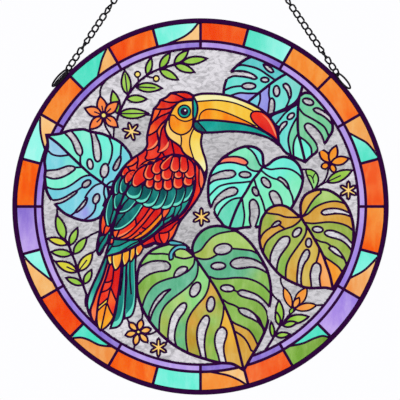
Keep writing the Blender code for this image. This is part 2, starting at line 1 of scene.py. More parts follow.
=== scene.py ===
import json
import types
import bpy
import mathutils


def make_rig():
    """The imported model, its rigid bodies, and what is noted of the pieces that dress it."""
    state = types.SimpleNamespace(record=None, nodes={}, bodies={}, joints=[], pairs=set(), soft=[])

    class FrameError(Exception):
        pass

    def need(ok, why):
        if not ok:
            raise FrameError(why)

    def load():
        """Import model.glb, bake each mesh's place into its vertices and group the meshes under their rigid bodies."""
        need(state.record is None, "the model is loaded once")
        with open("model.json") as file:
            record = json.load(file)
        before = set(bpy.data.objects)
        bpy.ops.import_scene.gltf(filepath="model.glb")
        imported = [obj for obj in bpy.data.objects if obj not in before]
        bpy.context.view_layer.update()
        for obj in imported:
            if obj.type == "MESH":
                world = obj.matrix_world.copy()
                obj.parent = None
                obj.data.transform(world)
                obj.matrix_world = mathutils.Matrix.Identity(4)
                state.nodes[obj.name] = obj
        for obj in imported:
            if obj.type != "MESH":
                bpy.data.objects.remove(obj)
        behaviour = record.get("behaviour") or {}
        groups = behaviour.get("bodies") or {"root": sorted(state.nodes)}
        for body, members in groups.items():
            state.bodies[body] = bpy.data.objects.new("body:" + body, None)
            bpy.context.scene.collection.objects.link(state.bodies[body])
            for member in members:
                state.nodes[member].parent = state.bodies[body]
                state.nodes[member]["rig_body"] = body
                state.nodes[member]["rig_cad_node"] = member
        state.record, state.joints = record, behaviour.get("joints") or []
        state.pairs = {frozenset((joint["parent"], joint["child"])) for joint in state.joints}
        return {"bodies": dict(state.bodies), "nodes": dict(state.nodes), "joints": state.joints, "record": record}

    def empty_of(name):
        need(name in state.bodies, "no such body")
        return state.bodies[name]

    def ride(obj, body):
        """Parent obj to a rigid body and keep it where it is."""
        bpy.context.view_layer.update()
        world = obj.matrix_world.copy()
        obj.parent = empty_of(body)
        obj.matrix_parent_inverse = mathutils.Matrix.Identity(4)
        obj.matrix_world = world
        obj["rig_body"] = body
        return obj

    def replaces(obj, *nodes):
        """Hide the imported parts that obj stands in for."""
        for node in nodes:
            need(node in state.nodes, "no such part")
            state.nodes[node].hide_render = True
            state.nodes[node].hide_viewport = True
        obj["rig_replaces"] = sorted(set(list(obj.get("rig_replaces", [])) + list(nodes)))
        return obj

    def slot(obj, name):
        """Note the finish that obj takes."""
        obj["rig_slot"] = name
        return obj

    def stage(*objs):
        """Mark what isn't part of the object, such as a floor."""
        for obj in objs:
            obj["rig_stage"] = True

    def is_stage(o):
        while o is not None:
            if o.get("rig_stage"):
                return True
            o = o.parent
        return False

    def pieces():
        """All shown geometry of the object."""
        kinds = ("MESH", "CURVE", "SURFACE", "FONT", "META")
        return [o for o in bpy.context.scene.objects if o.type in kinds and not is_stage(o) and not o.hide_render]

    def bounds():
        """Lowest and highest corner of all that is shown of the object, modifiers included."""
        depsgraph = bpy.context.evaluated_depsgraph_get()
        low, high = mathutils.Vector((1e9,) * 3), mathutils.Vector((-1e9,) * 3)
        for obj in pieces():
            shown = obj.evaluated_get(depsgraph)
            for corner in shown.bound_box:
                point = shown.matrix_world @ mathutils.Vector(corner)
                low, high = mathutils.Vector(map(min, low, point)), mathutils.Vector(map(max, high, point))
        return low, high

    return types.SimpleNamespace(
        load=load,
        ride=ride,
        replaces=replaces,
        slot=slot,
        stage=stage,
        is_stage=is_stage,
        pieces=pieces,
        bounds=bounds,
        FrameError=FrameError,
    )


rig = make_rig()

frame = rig.load()

# A round stained glass panel: a toucan among split leaves, leaded, rimmed and hung on a chain.
# Metres, +Z up; the panel faces -Y and the origin is where the top ring hangs. The cartoon,
# a full-size drawing of the glass, is in millimetres on complex numbers: real to the right,
# imaginary up, from the panel's centre. Later shapes of the cartoon cover earlier ones.
import json
import math
import random

import bpy
from mathutils import Vector
from mathutils.bvhtree import BVHTree
from mathutils.geometry import delaunay_2d_cdt
from mathutils.kdtree import KDTree

MM = 0.001
LOW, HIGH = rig.bounds()
with open("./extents.json", "w") as out:
    json.dump({"cad": [list(LOW), list(HIGH)]}, out)

RIM_DEPTH = 6.0
GLASS_DEPTH = 3.0
LEAD_DEPTH = 5.0
PANE_EDGE = 148.3
LEAD_EDGE = 145.9
# The leads on the two sides of the thin ring
BORDER_LINE = 131.8
RING_LINE = 126.0
RING_PANES = 12
HANG_HEIGHT = 273.0
# Widths of lead, from the boldest down
BOLD, FIRM, HEAVY, STRONG, STOUT, EDGE = 2.3, 2.2, 2.0, 1.9, 1.8, 1.7
THIN, STALK, SLIM, PLUME, LINE, SLIGHT, HAIR = 1.6, 1.5, 1.4, 1.35, 1.3, 1.2, 1.1


# ---- lines of the cartoon ------------------------------------------------------------------

# How far apart the points of a drawn line lie
STEP = 1.1
# The glass colours, as red, green and blue out of 255
TINTS = {
    "red_orange_deep": (245, 80, 20), "red_orange": (246, 98, 36), "red_orange_pale": (247, 110, 52),
    "orange_deep": (248, 100, 18), "orange": (250, 120, 40), "orange_pale": (248, 150, 62),
    "aqua_deep": (86, 228, 198), "aqua": (122, 243, 220), "aqua_pale": (160, 251, 236),
    "peach_deep": (243, 158, 84), "peach": (246, 182, 106), "peach_pale": (251, 202, 136),
    "purple_deep": (146, 122, 212), "purple": (166, 140, 228), "purple_soft": (186, 160, 233),
    "purple_pale": (194, 166, 238),
    "green_deep": (124, 164, 66), "green": (136, 184, 78), "clear": (210, 207, 212),
    "clear_mid": (196, 194, 198), "clear_dim": (184, 182, 185),
    "mint": (138, 244, 214), "mint_green": (136, 239, 192), "seafoam": (110, 220, 188),
    "lagoon_pale": (122, 234, 218), "lagoon": (116, 226, 214), "turquoise": (100, 204, 204),
    "turquoise_pale": (142, 220, 212),
    "sky": (130, 214, 228), "cornflower": (158, 208, 232), "periwinkle": (160, 160, 232),
    "jade": (106, 187, 149), "jade_light": (122, 213, 172), "emerald": (96, 182, 124),
    "fern_pale": (126, 207, 158), "spring": (152, 222, 142), "leaf": (146, 191, 92),
    "leaf_bright": (148, 210, 124),
    "lime": (178, 212, 122), "olive": (154, 179, 80), "olive_pale": (172, 190, 92), "moss": (136, 176, 78),
    "ochre": (218, 168, 74), "honey": (236, 178, 62), "bronze": (192, 150, 48), "straw": (212, 184, 86),
    "tangerine": (250, 166, 92), "amber": (246, 158, 52), "coral": (251, 136, 108), "red": (222, 34, 30),
    "scarlet": (244, 66, 42), "flame": (250, 104, 48), "blush": (252, 138, 92), "crimson": (206, 24, 34),
    "teal": (26, 130, 124), "deep_teal": (14, 92, 96), "sea": (44, 168, 152), "foam": (112, 224, 200),
    "beak_teal": (20, 164, 152), "cream": (250, 244, 182), "lemon": (250, 226, 120),
    "yellow": (250, 206, 78), "gold": (251, 176, 46),
    "pumpkin": (250, 140, 30), "claw": (92, 184, 196), "sprig": (146, 200, 68), "citron": (222, 216, 72),
    "sprig_dark": (168, 210, 92),
    "petal": (252, 142, 76), "sun": (252, 212, 124), "sand": (252, 188, 82), "night": (46, 12, 56),
    "glint": (250, 250, 255)}


def turned(degrees):
    """A unit step at an angle clockwise from straight up."""
    return complex(math.sin(math.radians(degrees)), math.cos(math.radians(degrees)))


def mix(a, b, share):
    return a + (b - a) * share


def patches(**tints):
    """Paint in patches, each (place, tint), from the places of every tint."""
    return [(place, tint) for tint, places in tints.items() for place in places]


def smooth(knots, closed=False, step=STEP):
    """A smooth line through the knots (a centripetal Catmull-Rom curve)."""
    if closed:
        ring = [knots[-1], *knots, knots[0], knots[1]]
    else:
        ring = [2 * knots[0] - knots[1], *knots, 2 * knots[-1] - knots[-2]]
    line = []
    for a, b, c, d in zip(ring, ring[1:], ring[2:], ring[3:]):
        before, here, after = abs(b - a) ** 0.5, abs(c - b) ** 0.5, abs(d - c) ** 0.5
        leave = c - b + here * ((b - a) / before - (c - a) / (before + here))
        arrive = c - b + here * ((d - c) / after - (d - b) / (here + after))
        count = max(1, round(abs(c - b) / step))
        for k in range(count):
            t = k / count
            rise = t * t * (3 - 2 * t)
            line.append(mix(b, c, rise) + t * (1 - t) ** 2 * leave - t * t * (1 - t) * arrive)
    if not closed:
        line.append(knots[-1])
    return line


def cornered(*runs):
    """A closed outline of smooth runs, with a corner where one run ends and the next begins."""
    outline = []
    for run in runs:
        outline += smooth(run)[:-1]
    return outline


def arc(radius, start, end, centre=0j, step=STEP):
    """An arc between two angles clockwise from the top."""
    count = max(1, round(abs(math.radians(end - start)) * radius / step))
    return [centre + radius * turned(mix(start, end, k / count)) for k in range(count + 1)]


def oval(centre, length, width, tilt):
    """A closed oval whose long way leans by the tilt, anticlockwise from the right."""
    lean = complex(math.cos(math.radians(tilt)), math.sin(math.radians(tilt)))
    count = max(10, round(length * 2.4 / STEP))
    outline = []
    for k in range(count):
        a = 2 * math.pi * k / count
        outline.append(centre + lean * complex(length / 2 * math.cos(a), width / 2 * math.sin(a)))
    return outline


def offset(line, distance, closed):
    """The line moved to its left, with mitred corners."""
    count = len(line)
    moved = []
    for k, here in enumerate(line):
        ways = []
        if closed or k > 0:
            before = line[k - 1]
            ways.append((here - before) / abs(here - before))
        if closed or k < count - 1:
            after = line[(k + 1) % count]
            ways.append((after - here) / abs(after - here))
        mean = sum(ways) / len(ways)
        reach = min(1.5, 1 / max(abs(mean), 0.01))
        moved.append(here + mean / max(abs(mean), 0.01) * 1j * distance * reach)
    return moved


def signed_area(outline):
    return sum((a.conjugate() * b).imag for a, b in zip(outline, outline[1:] + outline[:1])) / 2


class Cartoon:
    """Glass shapes and lead lines in the order in which they cover each other."""

    def __init__(self):
        self.shapes = []
        self.names = []
        self.paints = []
        self.bounds = []
        self.spines = []
        self.within = []

    def add(self, name, outlines, paint):
        self.shapes.append(outlines)
        self.names.append(name)
        self.paints.append(paint)
        self.bounds.append(tuple(self.within))

    def glass(self, name, outline, paint):
        """A pane, or paint on one. The paint is a tint, (tint, tint, from, to) or patches."""
        self.add(name, [outline], paint)

    def lead(self, line, width, closed=False):
        left, right = offset(line, width / 2, closed), offset(line, -width / 2, closed)
        count = len(line)
        strip = []
        for k in range(count if closed else count - 1):
            after = (k + 1) % count
            a, b, c, d = right[k], right[after], left[after], left[k]
            strip.append(max([a, b, c, d], [a, c, b, d], [a, b, d, c],
                 key=lambda quad: abs(signed_area(quad))))
        self.add("lead", strip, None)
        self.spines += line

    def pane(self, name, outline, paint, width=HAIR):
        """A piece of glass with lead all round it."""
        self.glass(name, outline, paint)
        self.lead(outline, width, closed=True)

    def keep_within_last(self):
        """What follows is only drawn where the last shape lies, until leave()."""
        self.within.append(len(self.shapes) - 1)

    def leave(self):
        self.within.pop()


# ---- the round border ----------------------------------------------------------------------

# The tiles clockwise from the top: the glass with its shades at the start and the end of the
# tile, and where a slanting lead cuts off an inner corner, the corner's glass, its two shades
# and the lead's line as (share of the way along the tile, radius)
BORDER = [
    ("red_orange", "red_orange_deep", "red_orange"),
    ("aqua", "aqua_deep", "aqua_pale"),
    ("orange", "orange_pale", "orange_pale"),
    ("orange", "orange_pale", "orange"),
    ("peach", "peach", "peach_deep", "aqua", "aqua_pale", "aqua_deep",
     [(0.23, 131.8), (0.43, 137), (0.61, 142), (0.98, 147.5)]),
    ("red_orange", "red_orange_pale", "red_orange"),
    ("orange", "orange_pale", "orange_deep"),
    ("peach", "peach_pale", "peach_deep", "aqua", "aqua", "aqua_pale",
     [(0.72, 131.8), (0.43, 139.8), (0.22, 143.9), (0.02, 147.5)]),
    ("purple", "purple", "purple_pale"),
    ("green", "green_deep", "green", "aqua", "aqua_deep", "aqua_deep",
     [(0.85, 131.8), (0.54, 136.3), (0.28, 138.8), (0.1, 142.2), (0.03, 147)]),
    ("red_orange", "red_orange", "red_orange_pale"),
    ("orange", "orange_pale", "orange_pale", "peach", "peach_pale", "peach",
     [(0.8, 131.8), (0.59, 133.8), (0.39, 136.3), (0.18, 141.3), (0.03, 147)]),
    ("aqua", "aqua", "aqua"),
    ("orange", "orange", "orange_deep"),
    ("peach", "peach_deep", "peach_deep", "aqua", "aqua_deep", "aqua_deep",
     [(0.14, 131.8), (0.41, 136.7), (0.67, 138.8), (0.82, 141.3), (0.96, 147)]),
    ("red_orange", "red_orange_deep", "red_orange_deep"),
    ("peach", "peach", "peach_pale", "aqua", "aqua", "aqua_pale",
     [(0.18, 131.8), (0.36, 134.7), (0.57, 138.8), (0.77, 143), (0.99, 147)]),
    ("purple", "purple_pale", "purple_deep"),
    ("red_orange", "orange_deep", "orange_deep"),
    ("aqua", "aqua_pale", "aqua_pale", "peach", "peach_pale", "peach_pale",
     [(0.33, 131.8), (0.49, 136.3), (0.69, 141.3), (0.97, 147)]),
    ("orange", "orange_pale", "orange"),
    ("aqua", "aqua_deep", "aqua_deep", "peach", "peach", "peach",
     [(0.43, 131.8), (0.59, 136.3), (0.75, 141.3), (0.97, 147)]),
    ("orange", "red_orange_deep", "orange"),
    ("aqua", "aqua", "aqua_pale", "peach", "peach", "peach_pale",
     [(0.16, 131.8), (0.33, 133), (0.59, 135.5), (0.79, 139.7), (0.97, 147)])]
RING = ["purple_pale", "purple_deep", "purple_pale", "purple_soft", "purple_soft", "purple_soft",
    "purple_soft", "purple", "purple_soft", "purple_soft", "purple_deep", "purple_deep", "purple_pale",
    "purple_soft", "purple_deep", "purple", "purple_pale", "purple", "purple", "purple_deep", "purple_deep",
    "purple", "purple_pale", "purple_deep"]


def draw_border(cartoon):
    """The tiles and the thin ring, laid over the picture, so the leads under them are hidden."""
    angle = 360 / len(BORDER)
    for k, (tint, first, last, *corner) in enumerate(BORDER):
        start, end = k * angle, (k + 1) * angle
        ways = BORDER_LINE * turned(start), BORDER_LINE * turned(end)
        outline = arc(PANE_EDGE, start, end) + arc(BORDER_LINE, end, start)
        cartoon.glass("border_" + tint, outline, (first, last, *ways))
        if corner:
            tint, first, last, knots = corner
            line = smooth([radius * turned(mix(start, end, share)) for share, radius in knots])
            side = end if knots[-1][0] > 0.5 else start
            fill = line + arc(BORDER_LINE, side, mix(start, end, knots[0][0]))[:-1]
            cartoon.glass("border_" + tint, fill, (first, last, *ways))
            cartoon.lead(line, THIN)
    for k in range(len(BORDER)):
        cartoon.lead([BORDER_LINE * turned(k * angle), 147.5 * turned(k * angle)], BOLD)


def draw_ring(cartoon):
    for k in range(RING_PANES):
        start, end = 360 / RING_PANES * k, 360 / RING_PANES * (k + 1)
        outline = arc(BORDER_LINE, start, end) + arc(RING_LINE, end, start)
        ends = BORDER_LINE * turned(start), BORDER_LINE * turned(end)
        cartoon.glass("ring", outline, (RING[2 * k], RING[2 * k + 1], *ends))
    for k in range(RING_PANES):
        way = turned(360 / RING_PANES * k)
        cartoon.lead([RING_LINE * way, BORDER_LINE * way], BOLD)
    cartoon.lead(arc(BORDER_LINE, 0, 360)[:-1], 2.1, closed=True)
    cartoon.lead(arc(RING_LINE, 0, 360)[:-1], HEAVY, closed=True)


# The clear glass's shades by place, behind the picture and in the leaves' slits
BACKDROP = patches(clear=[0+110j, -80+75j, -60-105j, 110-20j, -25-92j, 10-105j],
    clear_mid=[-55+60j, 62+45j, 80+50j, -100-15j, -80-40j, -50-70j, 65-35j, -90+50j, 60+90j, 35-75j,
     -8-60j], clear_dim=[-48+48j, 5+35j, 5-15j, -10-20j, 28+48j, 20+27j, 50+15j, 20-38j, -35-47j])


# ---- leaves --------------------------------------------------------------------------------

# Each leaf has its midrib, the outline of its two halves from the stem to the tip, its veins,
# its slits and ovals of clear glass, and patches of colour for the panes between them. A slit is
# (kind, outline): kind 0 ends under the outline's lead, 1 is closed, 2 opens the leaf's outline
# and 3 is filled with coral glass. An oval is (centre, length, width, tilt).
LEAVES = {}
LEAVES["leaf_left"] = dict(
    rib=[-74+15.4j, -80+20j, -88+25.9j, -95.1+32.3j, -105.1+41.9j, -113.5+50j, -122.8+57j],
    left=[-74+15.4j, -73+8j, -75+2j, -77.6-4.3j, -80.1-8.1j, -83.8-10.2j, -88.8-11.4j, -93.8-11j,
     -98.8-9.8j, -103.8-7.7j, -108-5.6j, -112.6-1.8j, -116.3+2.3j, -120.1+7.3j, -122.6+12.3j, -123.6+18j,
     -124.2+24j, -123.6+29j, -124.3+36.5j, -123.4+41.5j, -121.9+46.1j, -121.8+51.5j, -122.8+57j],
    right=[-74+15.4j, -66+16j, -59+21j, -55+29j, -55.5+40.3j, -58.8+45.7j, -63+50.3j, -68+53.6j, -73+55.7j,
     -78+57.8j, -83+58.8j, -88+59.8j, -93+61.5j, -97.2+61.3j, -102.2+60.8j, -107.2+59.7j, -111.3+58.2j,
     -117.2+57.3j, -122.8+57j],
    veins=[[-121.5+44.5j, -118.8+41.9j, -115.5+40.7j, -111.3+40.3j, -105.1+41.1j],
     [-99.8+31.1j, -95.1+31.3j], [-123.8+16.1j, -118.8+14.2j, -113+13.8j, -108+14.8j, -103+17.3j,
      -98.8+20.3j, -94.7+23.2j, -90.5+24.7j, -86.8+24.8j], [-94.5+15.5j, -98.2+13j],
     [-92.2+6.5j, -90.5+9.8j, -87.2+14j, -83.8+16.9j, -79.2+18.6j], [-90.4+6.4j, -92.2+6.5j],
     [-99.3-4.2j, -103.8-7.5j], [-83.3+2.2j, -84.3-2.7j, -87.2-6.8j, -91.3-9.8j, -93.5-11j],
     [-76.4+17j, -77+10.7j, -75.9+5.7j, -77.6+0.7j], [-73.4+56.1j, -71.8+52.3j, -70.5+48.2j, -70.5+43.2j,
      -71.3+39j, -73.2+34j], [-63+50.3j, -63.4+45.7j, -63.7+40.3j], [-95.7+40.2j, -95.9+35.7j, -95.1+32.2j],
     [-77.3+23.5j, -78+19.5j], [-75.2+16.6j, -71.3+19.8j, -67+20.5j]],
    slits=[(0, [-109.5+60.5j, -107.6+57.8j, -105.5+55.7j, -103.4+53.2j, -101.8+50.3j, -100.5+46.5j,
       -99.3+43.6j, -97.2+41.1j, -95.5+40.6j, -94.3+42.3j, -94.3+45.7j, -95.5+49j, -97.6+53.2j, -99.7+56.5j,
       -102.2+59.4j, -104+62.5j]), (0, [-89+62.5j, -87.2+57.3j, -86.3+52.3j, -85.9+48.2j, -85.5+44j,
       -84.8+39.8j, -83.8+36.9j, -82.2+35.7j, -80.1+36.9j, -79.3+40.7j, -79.7+45.7j, -80.7+50.7j,
       -82.4+54.8j, -84+59j, -84.5+62j]), (1, [-63.7+40.6j, -65.1+39j, -67.2+36.1j, -69+32.8j, -69.7+29.8j,
       -68.2+28.6j, -65.9+30.3j, -64.3+34j, -63.4+38j]), (0, [-126.5+27.5j, -122.4+28.6j, -118.8+29j,
       -114.7+29.4j, -110.5+30.7j, -106.3+32.2j, -103+32.3j, -100.5+31.5j, -100.1+29.8j, -101.8+28.2j,
       -105.5+25.7j, -109.7+23.6j, -114.7+22.2j, -118.8+22.3j, -123+23.8j, -126.5+25.5j]),
     (2, [-119.5+5j, -117+5.2j, -113+5.6j, -108+7.5j, -103.8+10j, -100.5+12j, -98.3+12.7j, -99+10.9j,
       -103+7.6j, -108+4.3j, -112.2+2.6j, -116.3+2j, -118.5+1.4j]),
     (1, [-90.3+6.8j, -92.4+5j, -95.3+1.5j, -98-1.8j, -99.7-4j, -99-4.6j, -96.3-3j, -93+0j, -90.7+4j])],
    ovals=[(-76.5+28.6j, 11.4, 6.4, 80), (-88+33.8j, 8.2, 4.7, 100), (-90.9+18.1j, 8, 4.8, 38),
     (-83.1+6.2j, 8.2, 5, 70)],
    tones=patches(cornflower=[-115+47j, -118+51j, -83+13j], sky=[-114+35j, -109+9j, -88+22j, -104-1j,
      -92+12j, -82-5j, -72+25j, -60+42j, -62+25j, -75.5+11j, -73+17j, -72+19.5j],
     lagoon=[-104+35j, -78+0j, -82+29j], mint=[-119+20j, -96+25j, -113+55j, -92+55j], periwinkle=[-92-5j],
     aqua=[-98+35j, -88+41j, -77.5+53j, -67+48j]))
LEAVES["leaf_centre"] = dict(
    rib=[49.9+32j, 45.5+25.7j, 41.1+20.4j, 36.8+12.6j, 32.9+6.5j, 29-1.3j, 25.5-10j, 22.9-17.5j],
    left=[50.3+31.6j, 54.2+33.5j, 57.7+36.5j, 62+38.7j, 66.3+39.6j, 70.7+38.7j, 75+36.5j, 78.5+32.6j,
     80.7+27.4j, 81.6+22.2j, 80.7+16.1j, 78.5+10j, 75.9+4.8j, 73.7+0.9j, 71.6-2.2j, 66-8j, 56-13j, 49-15.4j,
     43.4-16.4j, 38-16.4j, 33.3-17j, 28.1-17.8j, 22.9-17.2j],
    right=[50.3+31.6j, 49.8+37j, 49.4+41.3j, 47.7+44.3j, 44.6+46.5j, 40.3+47.8j, 35.9+47.8j, 31.6+46.7j,
     26.3+44.3j, 22+41.7j, 17.7+38.7j, 14.2+34.8j, 11.1+31.3j, 8.5+27j, 6.8+21.3j, 6.2+15.2j, 6.2+9.1j,
     6.8+3.9j, 8.5-0.6j, 10.6-3j, 11.6-5.7j, 13.7-9.1j, 16.3-12.2j, 18.5-15.2j, 22.9-17.2j],
    veins=[[36.8+47.2j, 40.3+44.8j, 43.3+41.3j, 45.5+37j, 47.2+33.5j, 49.6+31.4j],
     [35.9+33j, 38.5+30.2j, 42.9+28.3j, 46.8+28.2j], [6.8+8.3j, 10.7+12.6j, 15+16.1j, 20.3+17.8j,
      26.3+18.7j, 32.4+19.1j, 40+20j], [13.7-7.2j, 16.3-2.2j, 19.4+1.3j, 23.7+4.8j, 28.1+6.5j, 32.6+7j],
     [50.8+30.9j, 55.9+29.6j, 61.1+30.2j, 66.3+30.4j, 71.6+29.6j, 75.9+27.4j, 79.4+24.3j, 81.3+21j],
     [48.6+28.6j, 53.3+24.8j, 57.7+22.6j, 61.6+21.5j], [70.7+13.9j, 71.6+11.6j, 73.3+7.4j, 74+1.4j],
     [42.8+21.6j, 44.2+17j, 45.9+11.7j, 48.1+7.4j, 50.3+1.3j, 52-6j],
     [33.2+6.4j, 34.2-0.4j, 35-6.5j, 34.6-11.7j, 33.5-17j]],
    slits=[(3, [10+35j, 14.2+36j, 19.4+38.9j, 24.6+39.7j, 29.8+39.6j, 34.2+38.3j, 36.8+36.5j, 37.7+34.8j,
       35.9+33j, 32.4+33.5j, 28.1+34.7j, 23.7+35.2j, 19.4+34.9j, 14.2+33.6j, 10.5+31j]),
     (0, [4+21.5j, 7.2+23.5j, 11.6+26.1j, 16.8+28.1j, 22+28.9j, 26.3+28.4j, 28.1+26.1j, 26.3+23.9j,
       22.9+22.6j, 17.7+22j, 13.3+21.3j, 9.8+20j, 7.2+17.8j, 4.5+14.5j]),
     (2, [7.2-4.5j, 8.6-0.6j, 10.7+4.8j, 14.2+9.1j, 18.5+12.6j, 22.9+14.8j, 27.2+15.2j, 29.7+13j, 28.5+10j,
       24.6+8.3j, 20.3+7j, 15.9+4.3j, 12.4+0.9j, 11-2.4j, 9.4-5.8j]),
     (1, [61.3+21.7j, 62.9+23.4j, 65.5+22.4j, 68.1+20.2j, 69.9+17j, 70.7+13.7j, 68+16j, 65.4+18.9j,
       62.8+20.7j]), (0, [60.8-4j, 59.4-1.3j, 57.5+3j, 55.5+7.4j, 55+10.9j, 57.2+12.6j, 60.3+11.7j,
       62.9+8.7j, 64.6+4.8j, 65.4+0j, 65.5-4j]), (2, [40.6-20j, 40-15.5j, 39-10.9j, 39.4-5.7j, 39-0.4j,
       39.4+3.9j, 42+5.8j, 44.6+3.9j, 46.4-0.4j, 46.8-5.7j, 45.5-10.9j, 43.6-16.4j, 42.8-20j])],
    ovals=[(35.5+25.4j, 9.4, 4.8, -3), (52.2+19.1j, 9.8, 5.4, -50), (43.8+12j, 7.6, 4.6, -65)],
    tones=patches(lagoon_pale=[46+41j, 75.5+33j], mint_green=[35.5+44j, 37.5-3j, 37.5+9j, 77.5+15j,
      55.5+14j, 69.5+5j, 49.5-5j, 47.5+11j], jade_light=[42.5+34j],
     aqua=[15.5+30j, 15.5+16.5j, 35.5+22j, 18.5+15j, 35.5+14j, 59.5+34j, 57.5+28j],
     mint=[38.5+25j, 12.5-2j, 65.5+23j, 48.5+17j], seafoam=[21.5-8j, 28.5+1j, 29.5-7j, 26.5-15j]))
LEAVES["leaf_right"] = dict(
    rib=[80.1-8.4j, 83.1-13.5j, 86.6-18.7j, 90.1-24.8j, 93.1-30j, 97-37.4j, 100.1-45.7j, 103.1-54.3j,
     105.6-66j],
    left=[80.1-8.4j, 77-6.3j, 72.7-2.8j, 68.3+0j, 63.1+1.1j, 57.9+0.1j, 53.6-2.6j, 51-6.1j, 48.8-10j,
     47.6-15.2j, 47-20.4j, 47-26.5j, 47.9-31.7j, 50.1-37.4j, 53.6-43j, 57.9-48.7j, 62.3-53.5j, 67.5-57.4j,
     73.6-60.6j, 78.8-62.8j, 83.1-64.4j, 88.3-65j, 95.3-64.8j, 100.5-64.8j, 105.6-66j],
    right=[80.1-8.4j, 80+2j, 83.5+9j, 91.5+13j, 101.5+13j, 111.5+7j, 118-2j, 121.6-14j, 121.8-26.5j,
     119.5-40.5j, 113-53j, 105.6-66j],
    veins=[[52-5j, 57-5.8j, 62.3-6.5j, 67.5-8.3j, 72.7-8.7j, 79.6-8.6j],
     [47.4-26.8j, 49-22.8j, 51.6-19.8j, 54.4-17.8j, 56.8-16.2j], [62.5-14.7j, 64.9-16.1j, 67.3-17.9j],
     [49.8-37j, 51.2-31j, 53.4-27.2j, 56.8-24j, 61.4-20.6j, 67.5-17.9j, 73.6-15.7j, 77.9-12.6j, 80.7-9.4j],
     [68-57.8j, 67.9-52.6j, 68.8-46.5j, 71-41.3j, 74.4-36.1j, 78.8-30j, 82.3-24.8j, 84.2-20.4j, 84.4-15.6j],
     [94.3-32j, 94.4-36.5j, 92.3-44.6j], [80.6-8.4j, 83.1-5.7j, 85.7-1.3j, 88.3+3j, 91.8+7.4j, 96+11j],
     [80.7-8.5j, 85.7-5.7j, 91-0.9j, 97+2.2j, 103.1+3.9j, 109.2+4.1j, 115.6+2.2j],
     [82.7-12.8j, 89.2-13.5j, 95.3-13j, 101.4-12.4j, 107.5-12.8j, 113.6-14.2j, 117.9-16.1j, 122-19.6j],
     [90.2-25.2j, 95.3-27.8j, 100.5-29.1j, 104.2-31.7j], [114.4-41.4j, 115.4-43.4j, 116.2-46j],
     [97.2-38.2j, 100.5-41.3j, 105.7-44.8j, 110.1-48.3j, 113-52.2j]],
    slits=[(1, [63.9-12.4j, 62.7-11.5j, 60.1-12.1j, 57.9-14.1j, 56.5-16.4j, 59.7-15.9j, 62.3-14.8j,
       63.8-13.6j]), (0, [53.4-49j, 55.3-44.8j, 55.7-39.6j, 57.5-34.3j, 60.5-29.1j, 64-25.2j, 67.5-23.8j,
       70.5-24.3j, 71.2-27.4j, 69.2-31.7j, 65.3-37j, 62.7-41.3j, 61.4-45.7j, 60.8-50j, 60.5-56j]),
     (0, [77.6-66j, 77-60j, 77-55j, 77.5-50j, 78.3-44.8j, 80.1-40j, 82.3-36.1j, 84-34.5j, 85.8-34.5j,
       87-37j, 85.7-41.3j, 82.7-45.7j, 81-50.9j, 80.2-56.1j, 80.3-61j, 81.5-66.5j]),
     (0, [88.8-68j, 88-60j, 87.5-54.3j, 88.3-50j, 89.7-46.5j, 92.3-44.8j, 95.3-46.5j, 96-50.9j, 94.9-56.1j,
       95.3-61.3j, 96.5-68j]), (0, [123-6j, 119.5-5.4j, 116.2-3.9j, 111.8-2.2j, 106.6-1.5j, 102.3-1.7j,
       97.9-2.9j, 96.3-5j, 98.3-6.6j, 103.1-6.2j, 108.3-5.7j, 113.6-6.1j, 117.9-7.3j, 123-9.5j]),
     (0, [123.5-32j, 119.7-28.3j, 117-25.2j, 113.6-22.6j, 109.2-20.4j, 104.9-19.1j, 100.5-19.3j, 98.8-20.9j,
       100.1-22.9j, 104-24.6j, 108.3-25.7j, 112.7-27.4j, 116.2-30j, 119.7-34j, 121.5-37j]),
     (1, [102.4-33.2j, 104-31.6j, 107.5-32.8j, 111-36.1j, 113.6-39.8j, 114.7-41.8j, 111.8-40.2j,
       107.5-37.8j, 104-35j])],
    ovals=[(76.9-20.6j, 9, 5.3, 48), (86.2-28.9j, 7.2, 4.7, 85), (93.4-18.3j, 8.4, 4.7, -5)],
    tones=patches(ochre=[64.5-3.5j, 67.5-13j, 75.5-13j, 50-26.5j, 61.5-18j, 74.5-52.5j, 83.5+3j, 87.5+10j,
      95.5-1j, 115.5-3j, 109.5-11j, 118.5-13j], olive=[54.5-12j, 54.5-34.5j, 91.5-20.5j, 117.5-21.5j,
      115.5-28.5j, 116.5-38.5j, 107.5-40.5j, 113.5-47.5j], olive_pale=[77.5-16j, 79.5-24.5j, 73.5-30.5j,
      101.5-26.5j, 99.5-34.5j], leaf=[64.5-46.5j, 89.5+2j], straw=[81.5-34.5j, 89.5-30.5j, 84.5-53.5j,
      86-60.5j], tangerine=[98.5-54.5j, 98.5-42.5j], amber=[108.5-54.5j, 103.5-46.5j], lime=[99.5+9j]))
